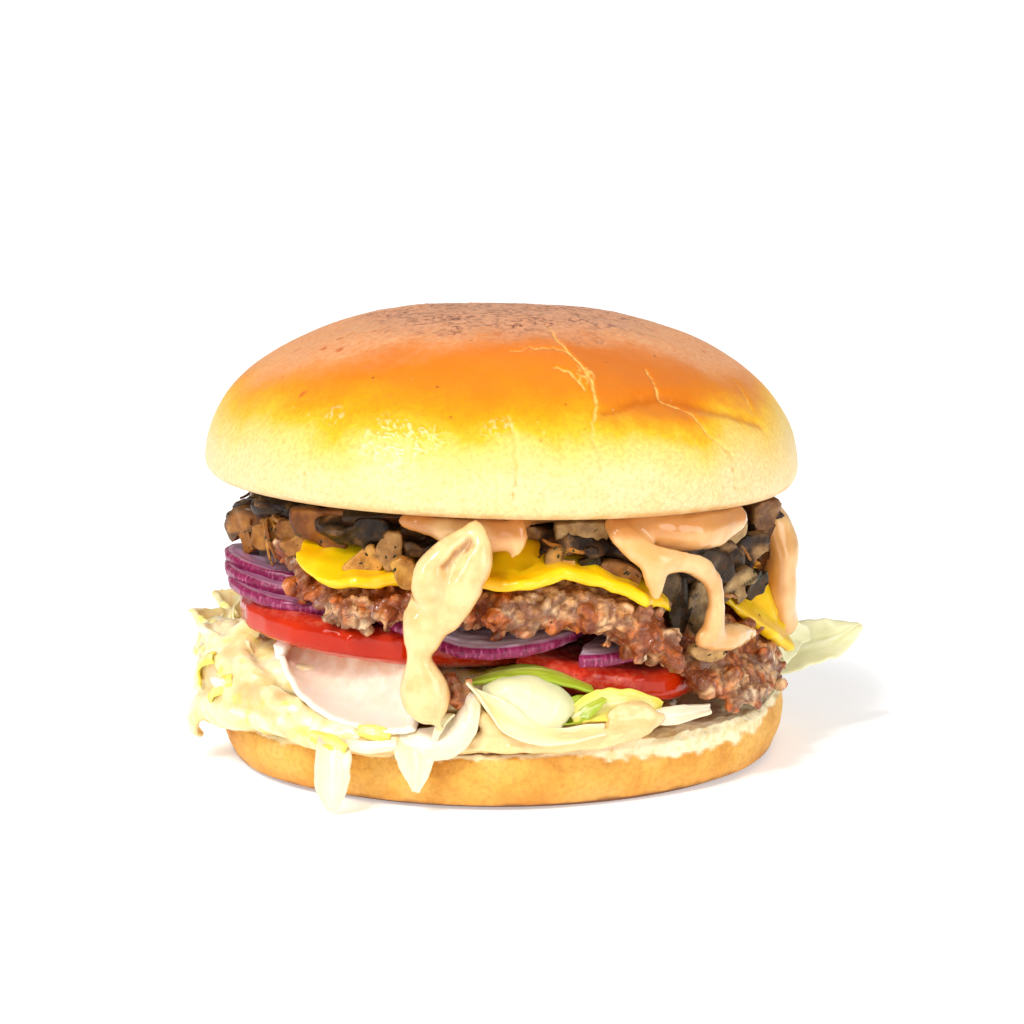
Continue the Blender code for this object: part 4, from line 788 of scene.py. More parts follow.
mushroomValues = {
    "seed": 21,
    # x, y, z, half width, half height, way it faces, lean, roll, thickness,
    # tone from pale to dark, warmth, kind
    "shown": [
        (-51.0, -14.0, 46.6, 6.0, 5.4, -128, 0.15, 0.3, 2.4, 0.36, 0.95, "slice"),
        (-50.0, -13.0, 51.0, 5.4, 2.6, -128, 0.2, 0.25, 3.0, 0.95, 0.6, "torn"),
        (-42.5, -24.0, 52.6, 6.6, 3.6, -118, 0.3, -0.1, 4.4, 1.0, 0.7, "cap"),
        (-45.0, -24.0, 48.0, 5.0, 3.6, -120, 0.1, 0.5, 1.6, 0.38, 0.9, "torn"),
        (-38.5, -33.5, 50.2, 5.6, 2.8, -108, 0.25, 0.15, 1.6, 0.42, 0.9, "torn"),
        (-33.5, -38.8, 50.6, 7.0, 5.2, -106, 0.2, 0.0, 2.2, 0.5, 1.0, "wedge"),
        (-39.5, -34.5, 47.2, 4.2, 2.0, -112, 0.35, 0.4, 1.6, 0.3, 0.9, "torn"),
        (-22.0, -44.0, 52.8, 8.0, 3.2, -95, 0.5, 0.05, 3.0, 0.9, 1.0, "slab"),
        (-25.7, -47.2, 46.4, 4.3, 3.5, -97, 0.12, 0.0, 1.5, 0.02, 0.9, "fan"),
        (-20.6, -48.6, 48.6, 2.5, 3.9, -92, 0.1, -0.16, 1.8, 0.22, 0.6, "oval"),
        (-17.6, -52.0, 44.8, 2.2, 3.4, -92, 0.1, 0.3, 1.8, 0.1, 1.0, "slab"),
        (-17.0, -46.0, 49.5, 5.0, 4.0, -88, 0.4, 0.8, 2.2, 0.85, 0.8, "slice"),
        (15.8, -48.8, 51.8, 5.6, 2.8, -82, 0.2, 0.04, 2.4, 0.26, 0.3, "slab"),
        (11.6, -50.2, 46.4, 3.4, 3.4, -84, 0.1, 1.45, 2.0, 0.12, 0.8, "slice"),
        (17.0, -49.6, 46.8, 3.0, 2.2, -80, 0.1, -1.3, 1.8, 0.8, 0.4, "slice"),
        (22.8, -48.4, 43.2, 4.6, 3.4, -76, 0.15, -0.25, 2.0, 0.3, 0.75, "slab"),
        (26.0, -45.4, 49.2, 6.6, 4.4, -74, 0.5, 0.5, 2.2, 1.0, 0.3, "slice"),
        (31.0, -43.6, 39.6, 3.4, 5.2, -66, 0.15, -0.45, 1.8, 0.74, 0.05, "slab"),
        (34.5, -41.0, 36.4, 2.8, 6.2, -62, 0.1, 0.15, 1.6, 1.0, 0.1, "torn"),
        (38.6, -38.0, 36.4, 3.2, 6.0, -58, 0.1, -0.1, 1.8, 0.42, 0.1, "oval"),
        (36.0, -36.5, 44.5, 6.4, 4.4, -60, 0.3, 0.9, 2.2, 0.95, 0.3, "slice"),
        (41.0, -32.0, 42.0, 5.4, 4.2, -56, 0.3, -0.5, 2.0, 0.85, 0.3, "slice"),
        (46.0, -23.8, 49.2, 3.4, 4.0, -48, 0.3, 0.3, 1.8, 0.16, 0.35, "slab"),
        (52.4, -10.2, 50.0, 4.2, 3.8, -50, 0.3, 0.1, 5.6, 0.55, 0.6, "slab"),
        (53.0, -9.6, 43.6, 3.8, 4.6, -48, 0.1, -0.2, 2.6, 0.78, 0.9, "slab"),
        (51.6, -9.0, 39.6, 3.8, 3.2, -40, 0.1, 0.2, 3.0, 0.66, 0.9, "torn"),
        (46.6, -26.0, 37.4, 4.6, 3.6, -56, 0.2, 0.5, 1.8, 0.26, 0.3, "slice"),
        (50.6, -20.6, 36.8, 2.6, 3.6, -50, 0.2, -0.5, 2.0, 0.9, 0.3, "torn"),
        (39.6, -41.4, 27.4, 1.6, 4.4, -58, 0.2, 1.35, 1.8, 0.14, 0.5, "oval"),
        (41.8, -38.6, 28.2, 3.4, 1.6, -56, 0.2, -0.2, 1.6, 0.85, 0.3, "slab"),
    ],
    "backCount": 30,
    # strings of fried onion: points and half width
    "strings": [
        ([(-46.0, -20.0, 54.0), (-47.0, -22.0, 51.6), (-46.0, -25.0, 47.6), (-44.6, -28.4, 42.0)], 0.75),
        ([(-45.0, -22.0, 53.8), (-45.8, -24.6, 50.2), (-45.0, -27.0, 46.4), (-43.8, -29.6, 42.6)], 0.6),
        ([(-48.0, -18.0, 53.4), (-47.2, -22.6, 49.8), (-45.8, -26.6, 44.8)], 0.5),
        ([(-47.6, -19.6, 51.6), (-43.0, -28.0, 51.0), (-38.5, -34.5, 51.6)], 0.6),
        ([(-46.4, -22.6, 50.4), (-42.6, -29.0, 49.0), (-37.6, -35.4, 48.6), (-33.0, -39.4, 49.6)], 0.65),
        ([(-44.0, -27.0, 49.6), (-41.4, -31.2, 47.0), (-37.0, -36.2, 46.2)], 0.55),
        ([(8.0, -50.4, 51.0), (13.0, -51.0, 48.6), (17.6, -50.6, 49.4)], 0.55),
        ([(40.0, -36.0, 40.0), (44.0, -31.0, 36.6), (48.5, -24.5, 35.0)], 0.5),
        ([(48.0, -20.5, 44.5), (50.6, -17.0, 41.0), (52.4, -12.5, 39.4)], 0.6),
    ],
    "backStrings": 16,
    "fleckSeed": 4,
    "flecks": 260,
    "fleckSize": (0.5, 0.26, 0.1),
    "gillsPerMm": 9.0 / (2 * math.pi),
    "coreVoxel": 0.9,
    "coreSmoothing": 4,
}


# outlines of the cut pieces, anticlockwise, as shares of their half width and height
mushroomOutlines = {
    "fan": [(1.0, -0.1), (0.55, 0.8), (0.27, 1.0), (-0.3, 0.35), (-1.0, -0.45), (-0.1, -0.85), (0.7, -0.7)],
    "wedge": [(1.0, 0.85), (0.0, 1.0), (-1.0, 0.8), (-0.9, -0.3), (-0.2, -0.5), (0.35, -1.0), (0.6, -0.9),
              (0.75, 0.1)],
    "slab": [(1.0, 0.4), (0.6, 0.9), (-0.4, 1.0), (-1.0, 0.75), (-0.9, -0.7), (0.1, -1.0), (0.8, -0.8)],
    "torn": [(1.0, -0.2), (0.85, 0.6), (0.3, 1.0), (-0.1, 0.65), (-0.7, 0.85), (-1.0, -0.1), (-0.6, -0.85),
             (0.1, -1.0), (0.4, -0.5)],
}


# rings from the middle of the front face, over the rim, to the middle of the back: share of the outline, depth
mushroomRounds = {
    "cut": [(0.3, -0.42), (0.62, -0.46), (0.88, -0.5), (0.975, -0.47), (1.0, -0.36), (1.0, 0.36), (0.96, 0.46),
            (0.84, 0.5), (0.6, 0.5), (0.3, 0.5)],
    "cap": [(0.3, -0.62), (0.6, -0.56), (0.8, -0.46), (0.93, -0.3), (1.0, 0.0), (0.96, 0.24), (0.84, 0.38),
            (0.6, 0.44), (0.3, 0.46)],
}
mushroomLayers = ("skin", "gills", "tone", "warmth", "across")


def mushroomOutline(wide, tall, kind, draw):
    # outline of one piece in its own plane, round from its right end
    outline = []
    if kind == "slice":
        for i in range(23):
            turn = math.pi * i / 22
            bulge = 1 + 0.05 * math.sin(3 * turn + draw.uniform(-0.3, 0.3))
            outline.append((math.cos(turn) * wide * bulge, math.sin(turn) * tall * bulge))
        # curled ends of the cap, the gill hollows and the stem
        stem = wide * draw.uniform(0.2, 0.28)
        length = wide * draw.uniform(0.5, 0.9)
        half = [(0.93, 0.16), (0.78, 0.25), (0.6, 0.2), (0.45, 0.1)]
        outline += [(-wide * x, -wide * z) for x, z in half]
        outline += [(-stem * 1.25, -wide * 0.08), (-stem, -wide * 0.3), (-stem * 1.02, -length * 0.7),
                    (-stem * 1.2, -length), (-stem * 0.4, -length * 1.07), (stem * 0.5, -length * 1.05),
                    (stem * 1.2, -length * 0.96), (stem, -length * 0.65), (stem * 0.95, -wide * 0.3),
                    (stem * 1.25, -wide * 0.08)]
        outline += [(wide * x, -wide * z) for x, z in half[::-1]]
        return outline
    if kind in mushroomOutlines:
        corners = [(x * wide * draw.uniform(0.92, 1.06), z * tall * draw.uniform(0.92, 1.06))
                   for x, z in mushroomOutlines[kind]]
        corners.append(corners[0])
        lengths = [math.dist(a, b) for a, b in zip(corners, corners[1:])]
        walked = np.cumsum([0] + lengths)
        spots = np.linspace(0, walked[-1], 45)[:-1]
        sides = [[corner[k] for corner in corners] for k in range(2)]
        outline = np.stack([np.interp(spots, walked, side) for side in sides], axis=1)
        for turn in range(2):
            outline = 0.5 * outline + 0.25 * (np.roll(outline, 1, axis=0) + np.roll(outline, -1, axis=0))
        return [tuple(spot) for spot in outline]
    shift = draw.uniform(0, 6.28)
    for i in range(40):
        turn = 2 * math.pi * i / 40
        bulge = 1 + 0.07 * math.sin(3 * turn + shift) + 0.04 * math.sin(5 * turn + 2 * shift)
        outline.append((math.cos(turn) * wide * bulge, math.sin(turn) * tall * bulge))
    return outline


def paintVert(vert, layers, *values):
    for name, value in zip(mushroomLayers, values):
        vert[layers[name]] = float(value)


def addMushroom(shape, layers, row, draw):
    x, y, z, wide, tall, facing, lean, roll, thick, tone, warmth, kind = row
    outline = mushroomOutline(wide, tall, kind, draw)
    seed = draw.uniform(0, 50)
    size = (wide + tall) / 2
    rounds = mushroomRounds["cap" if kind == "cap" else "cut"]
    stand = (Matrix.Translation(Vector((x, y, z))) @ Matrix.Rotation(math.radians(facing + 90), 4, "Z")
             @ Matrix.Rotation(lean, 4, "X") @ Matrix.Rotation(-roll, 4, "Y"))
    bend = draw.uniform(-0.05, 0.05) * 5 / size
    twist = draw.uniform(-0.03, 0.03) * 5 / size

    def addPoint(flatX, flatZ, share, side):
        deep = side * thick + bend * flatX * flatX + twist * flatX * flatZ
        flat = Vector((flatX, 0, flatZ))
        drift = noise.noise(flat / 3.4 + Vector((seed, 0, 0)))
        swell = 1 + 0.1 * noise.noise(flat / (size * 0.5) + Vector((0, seed, 0)))
        spot = Vector((flatX * swell, deep + 0.6 * drift, flatZ * swell))
        wrinkle = 0.45 if kind == "cap" else 0.12
        spot += Vector((0, 1, 0)) * wrinkle * noise.noise(spot / 1.2 + Vector((0, 0, seed)))
        spot += flat / size * 0.16 * noise.noise(spot + Vector((seed, 0, 3))) * share
        vert = shape.verts.new(stand @ spot)
        skin = ease(np.array((share - 0.86) / 0.12))
        gills = 0.0
        if kind == "slice":
            skin = ease(np.array((share - 0.74) / 0.18)) * ease(np.array((flatZ / size + 0.15) / 0.2))
            beside = ease(np.array((abs(flatX) / wide - 0.22) / 0.1))
            gills = math.exp(-((flatZ / size + 0.06) / 0.13) ** 2) * beside
        elif kind == "cap":
            skin = 0.45 + 0.55 * skin
        else:
            skin *= 0.55
        paintVert(vert, layers, skin, gills, tone, warmth, flatX)
        return vert

    loops = []
    for share, side in rounds:
        loops.append([addPoint(fx * share, fz * share, share, side) for fx, fz in outline])
    count = len(outline)
    for near, far in zip(loops, loops[1:]):
        for i in range(count):
            j = (i + 1) % count
            shape.faces.new((near[i], near[j], far[j], far[i]))
    for loop, side, turned in ((loops[0], rounds[0][1], 1), (loops[-1], rounds[-1][1], -1)):
        middle = addPoint(0.0, 0.0, 0.0, side)
        for i in range(count):
            shape.faces.new((loop[i], loop[(i + turned) % count], middle))


def addString(shape, layers, points, wide, tone, seed):
    # a limp string of fried onion, flat and a little twisted
    path = smoothPath(points, 7)
    last = len(path) - 1
    loops = []
    for i, middle in enumerate(path):
        middle = Vector(middle) + 0.7 * Vector([noise.noise(Vector(middle) / 2.5 + Vector((seed, k * 9, 0)))
                                                for k in range(3)])
        along = Vector(path[min(i + 1, last)] - path[max(i - 1, 0)]).normalized()
        out = Vector((middle.x, middle.y, 0)).normalized()
        side = along.cross(out).normalized()
        turn = seed + i * 0.25
        taper = 0.35 + 0.65 * math.sin(math.pi * min(max(i / last, 0.06), 0.94))
        loop = []
        for k in range(8):
            around = 2 * math.pi * k / 8
            away = side * math.cos(around + turn) * wide + out * math.sin(around + turn) * wide * 0.5
            vert = shape.verts.new(middle + away * taper)
            paintVert(vert, layers, 0, 0, tone, 1.0, 0)
            loop.append(vert)
        loops.append(loop)
    for near, far in zip(loops, loops[1:]):
        for k in range(8):
            shape.faces.new((near[k], near[(k + 1) % 8], far[(k + 1) % 8], far[k]))
    shape.faces.new(loops[0][::-1])
    shape.faces.new(loops[-1])


def makeMushrooms():
    v = mushroomValues
    draw = random.Random(v["seed"])
    shape = bmesh.new()
    layers = {name: shape.verts.layers.float.new(name) for name in mushroomLayers}
    for row in v["shown"]:
        addMushroom(shape, layers, row, draw)
    for i, (points, wide) in enumerate(v["strings"]):
        addString(shape, layers, points, wide, draw.uniform(0.2, 0.5), i * 3.1)
    # the hidden side is filled in the same way
    for i in range(v["backCount"]):
        angle = -2 + 196 * i / (v["backCount"] - 1) + draw.uniform(-3, 3)
        reach = 50.5 + draw.uniform(-2.5, 1.2)
        x, y = reach * math.cos(math.radians(angle)), reach * math.sin(math.radians(angle))
        z = 45 + draw.uniform(-2, 6) - (2.5 if x > 20 else 0)
        kind = draw.choice(("slice", "slice", "slab", "wedge", "torn", "torn", "cap", "fan", "oval"))
        wide = draw.uniform(4.0, 6.6)
        row = (x, y, z, wide, wide * draw.uniform(0.65, 0.95), angle + draw.uniform(-20, 20),
               draw.uniform(0, 0.6), draw.uniform(-1.4, 1.4), draw.uniform(1.7, 2.6), draw.uniform(0.1, 1.0),
               draw.uniform(0.1, 1.0), kind)
        addMushroom(shape, layers, row, draw)
    for i in range(v["backStrings"]):
        angle = draw.uniform(0, 190)
        points = []
        for k in range(4):
            turn, reach = math.radians(angle + 5 * k), draw.uniform(51, 53.5)
            points.append((reach * math.cos(turn), reach * math.sin(turn), draw.uniform(41, 52)))
        addString(shape, layers, points, draw.uniform(0.5, 0.8), draw.uniform(0.2, 0.6), i * 1.7)
    return pieceOf(shape, "mushroomPieces")


def makeMushroomMaterial():
    material, tree, shader = startMaterial(
        "friedMushroom", Roughness=0.4, Subsurface_Weight=0.1, Subsurface_Scale=0.0012, Specular_IOR_Level=0.2,
        Coat_Weight=0.25, Coat_Roughness=0.05, Specular_Tint=(1.0, 0.8, 0.55, 1.0))
    tone = painted(tree, "tone")
    shade = plus(tree, tone, spanned(tree, cloud(tree, 4, 3), 0.3, 0.7, -0.2, 0.25))
    warm = ramp(tree, shade, [(0.0, (214, 158, 72)), (0.3, (170, 108, 38)), (0.6, (122, 64, 14)),
                              (0.8, (76, 38, 10)), (1.0, (36, 18, 6))])
    grey = ramp(tree, shade, [(0.0, (208, 180, 128)), (0.3, (164, 138, 94)), (0.6, (98, 80, 54)),
                              (0.8, (60, 47, 30)), (1.0, (32, 23, 13))])
    flesh = blended(tree, painted(tree, "warmth"), grey, warm)
    streaks = spanned(tree, cloud(tree, 1.8, 4, 0.65, 0.5), 0.5, 0.72, 0.0, 0.5)
    fried = blended(tree, streaks, flesh, (98, 58, 24))
    gilled = blended(tree, times(tree, painted(tree, "gills"), 0.9), fried, (44, 30, 20))
    skin = spanned(tree, "skin", 0.15, 0.9)
    skin = times(tree, skin, spanned(tree, tone, 0.0, 0.6, 0.3, 0.95))
    skinned = blended(tree, skin, gilled, (46, 27, 13))
    burnt = spanned(tree, cloud(tree, 2.4, 4, 0.65, 0.4), 0.61, 0.68, 0.0, 0.75)
    final = blended(tree, burnt, skinned, (36, 24, 16))
    plug(shader, Base_Color=final)
    along = times(tree, painted(tree, "across"), 2 * math.pi * mushroomValues["gillsPerMm"])
    ridges = reckoned(tree, "SINE", along)
    lamellae = bumped(tree, times(tree, ridges, painted(tree, "gills")), 0.2)
    plug(shader, Normal=bumped(tree, cloud(tree, 0.9, 4, 0.6), 0.22, lamellae))
    return material


def makeFlecks(mushrooms):
    # chopped dark green herbs that stick to the mushrooms
    draw = random.Random(mushroomValues["fleckSeed"])

    def allowed(spot, normal):
        outside = math.hypot(spot.x, spot.y) > 45 and normal.x * spot.x + normal.y * spot.y > 15
        return outside and spot.z < 53

    stands = standsOn(mushrooms, mushroomValues["flecks"], draw, allowed, mushroomValues["fleckSize"], 0.02)
    return copiesOf(addBlob("fleck", 1), stands, "herbFlecks")


def makeHeapCore():
    v = mushroomValues
    core = remeshed(copyOfNode("mushroom_heap", "mushroomHeap"), v["coreVoxel"], v["coreSmoothing"])
    points, normals = pointsOf(core), normalsOf(core)
    relief = 0.9 * (lumps(points, 5.5, 3) - 0.5) + 0.5 * waves(points, 2.2, 6) - 0.5
    points += normals * relief[:, None]
    movePoints(core, points)
    paintValue(core, "lump", lumps(points, 5.5, 3))
    return core


def makeHeapCoreMaterial():
    material, tree, shader = startMaterial(
        "friedHeap", Roughness=0.45, Specular_IOR_Level=0.15, Coat_Weight=0.15, Coat_Roughness=0.08)
    patch = ramp(tree, cloud(tree, 5.5, 4, 0.65, 0.5), [(0.34, (48, 33, 23)), (0.5, (92, 66, 42)),
                                                        (0.6, (138, 100, 62)), (0.72, (176, 134, 84))])
    # painted shade: the crevices between the lumps are darkened nearly to black
    final = blended(tree, spanned(tree, "lump", 0.4, -0.1, 0.0, 0.85), patch, (24, 15, 11))
    plug(shader, Base_Color=final, Normal=bumped(tree, cloud(tree, 1.2, 4, 0.6), 0.3))
    return material


finishPiece(makeHeapCore(), makeHeapCoreMaterial(), "mushroom", "mushroom_heap")
mushrooms = finishPiece(makeMushrooms(), makeMushroomMaterial(), "mushroom", "mushroom_heap")
herbGreen, herbTree, herbShader = startMaterial("herbGreen", Roughness=0.4, Specular_IOR_Level=0.3)
herbShade = ramp(herbTree, cloud(herbTree, 3, 2), [(0.4, (34, 40, 18)), (0.6, (58, 66, 26))])
plug(herbShader, Base_Color=herbShade)
finishPiece(makeFlecks(mushrooms), herbGreen, "mushroom")
print("mushrooms done", len(mushrooms.data.polygons))


# red onion

onionValues = {
    # node: centre x, y and radius of the round it was cut from
    "onion_left_1": (-33.0, -18.5, 21.6),
    "onion_left_2": (-36.3, -15.5, 19.2),
    "onion_left_3": (-39.0, -12.0, 16.8),
    "onion_front": (-4.5, -32.0, 23.5),
    "onion_right": (9.5, -34.0, 19.8),
    "onion_back_1": (-12.0, 31.0, 23.0),
    "onion_back_2": (21.0, 31.0, 22.0),
}
onionFinish = {
    "voxel": 0.42,
    "smoothing": 3,
    "layer": 2.7,  # one ring of the onion to the next
    "ridge": 0.12,
}


def makeOnion(node, row):
    v = onionFinish
    slab = remeshed(copyOfNode(node, node.replace("_", "") + "Slice"), v["voxel"], v["smoothing"])
    points, normals = pointsOf(slab), normalsOf(slab)
    away = points[:, :2] - np.array(row[:2])
    wobble = 0.6 * waves(np.stack([away[:, 0], away[:, 1], 0 * away[:, 0]], axis=1), 9, row[2])
    reach = np.linalg.norm(away, axis=1)
    depth = row[2] - reach
    ring = (depth + wobble) / v["layer"]
    points[:, 2] -= 0.5 * (normals[:, 2] < -0.3)
    ridge = np.abs(np.sin(np.pi * ring)) * np.abs(normals[:, 2])
    points[:, 2] += np.sign(normals[:, 2]) * v["ridge"] * (ridge - 0.6)
    points += normals * (0.1 * waves(points, 2.0, row[2]))[:, None]
    if node.startswith("onion_left"):
        points[:, 2] += 0.1 * np.maximum(-44 - points[:, 0], 0) - 0.5 * int(node[-1])
    movePoints(slab, points)
    paintValue(slab, "ring", ring)
    paintValue(slab, "depth", depth)
    paintValue(slab, "fanned", np.full(len(points), float(node.startswith("onion_left"))))
    paintValue(slab, "turn", np.arctan2(away[:, 1], away[:, 0]))
    return slab


def makeOnionMaterial():
    material, tree, shader = startMaterial(
        "redOnion", Roughness=0.28, Subsurface_Weight=0.3, Subsurface_Scale=0.002, Specular_IOR_Level=0.3,
        Coat_Weight=0.2, Coat_Roughness=0.08, Subsurface_Radius=(1.0, 0.4, 0.6))
    depth, ring = painted(tree, "depth"), painted(tree, "ring")
    between = reckoned(tree, "ABSOLUTE", reckoned(tree, "SINE", times(tree, ring, math.pi)))
    pale = blended(tree, spanned(tree, between, 0.0, 0.35, 0.75, 0.0), (222, 200, 212), (190, 138, 172))
    pale = blended(tree, spanned(tree, depth, 3.5, 1.0, 0.0, 0.6), pale, (196, 150, 182))
    pinker = times(tree, painted(tree, "fanned"), spanned(tree, depth, 9.0, 2.0, 0.3, 0.85))
    pinker = times(tree, pinker, spanned(tree, depth, 1.1, 2.0))
    pale = blended(tree, pinker, pale, (168, 84, 138))
    # fine pale lines run down the purple skin
    turned = addNode(tree, "CombineXYZ", {"X": times(tree, painted(tree, "turn"), 60.0),
                                          "Y": heightOf(tree)}).outputs[0]
    lines = addNode(tree, "TexNoise", {"Vector": turned, "Scale": 0.55, "Detail": 3.0}).outputs["Fac"]
    purple = ramp(tree, lines, [(0.34, (112, 14, 58)), (0.56, (146, 34, 84)), (0.74, (196, 112, 148))])
    final = blended(tree, spanned(tree, depth, 1.5, 0.9), pale, purple)
    plug(shader, Base_Color=final, Normal=bumped(tree, lines, 0.1))
    return material


onionMaterial = makeOnionMaterial()
onions = []
for node, row in onionValues.items():
    onions.append(finishPiece(makeOnion(node, row), onionMaterial, "onion", node))
print("onions done", sum(len(piece.data.polygons) for piece in onions))


# tomato

tomatoValues = {
    # node: centre x, y and radius of the fruit's round
    "tomato_left": (-18.5, -15.5, 35.0),
    "tomato_right": (14.0, -25.0, 25.0),
    "tomato_back": (10.0, 21.0, 31.0),
}
tomatoFinish = {
    "voxel": 0.7,
    "smoothing": 5,
    "cutFrom": 26,  # the right slice shows skin from here on, its cut flesh before
    "bead": ((-28.6, -48.6, 31.0), 1.3, 0.6),  # a drop of juice: centre, radius and height
}


def makeTomato(node, row):
    v = tomatoFinish
    slab = remeshed(copyOfNode(node, node.replace("_", "") + "Slice"), v["voxel"], v["smoothing"])
    points, normals = pointsOf(slab), normalsOf(slab)
    away = points[:, :2] - np.array(row[:2])
    reach = np.linalg.norm(away, axis=1)
    outward = away / np.maximum(reach, 1e-6)[:, None]
    facing = np.sum(normals[:, :2] * outward, axis=1)
    skin = ease((reach / row[2] - 0.93) / 0.05) * ease((facing - 0.1) / 0.3)
    if node == "tomato_right":
        skin *= ease((points[:, 0] - v["cutFrom"] + 1.5 * waves(points, 3, 2)) / 2.0)
    flesh = 1 - skin
    centre, size, height = v["bead"]
    bead = np.exp(-(np.linalg.norm(points - np.array(centre), axis=1) / size) ** 2)
    relief = 0.16 * waves(points, 8, row[2]) + 0.16 * flesh * waves(points, 1.7, 3) + height * bead
    points += normals * relief[:, None]
    movePoints(slab, points)
    paintValue(slab, "skin", skin)
    return slab


def makeTomatoMaterial():
    material, tree, shader = startMaterial(
        "ripeTomato", Roughness=0.22, Subsurface_Weight=0.2, Subsurface_Scale=0.0015, Specular_IOR_Level=0.15,
        Coat_Weight=0.5, Coat_Roughness=0.05, Specular_Tint=(1.0, 0.5, 0.3, 1.0),
        Subsurface_Radius=(1.0, 0.25, 0.1))
    red = ramp(tree, cloud(tree, 12, 3), [(0.35, (200, 44, 0)), (0.65, (176, 26, 0))])
    wet = ramp(tree, cloud(tree, 2.4, 4, 0.6), [(0.35, (188, 30, 10)), (0.5, (204, 56, 34)),
                                                (0.68, (222, 104, 76))])
    wet = blended(tree, spanned(tree, cells(tree, 1.5), 0.2, 0.1, 0.0, 0.6), wet, (140, 20, 8))
    final = blended(tree, painted(tree, "skin"), wet, red)
    plug(shader, Base_Color=final)
    skinBump = bumped(tree, cloud(tree, 7, 2), 0.1)
    plug(shader, Normal=bumped(tree, cloud(tree, 1.2, 2), 0.03, skinBump))
    return material


tomatoMaterial = makeTomatoMaterial()
tomatoes = []
for node, row in tomatoValues.items():
    tomatoes.append(finishPiece(makeTomato(node, row), tomatoMaterial, "tomato", node))
print("tomatoes done", sum(len(piece.data.polygons) for piece in tomatoes))


# sauce

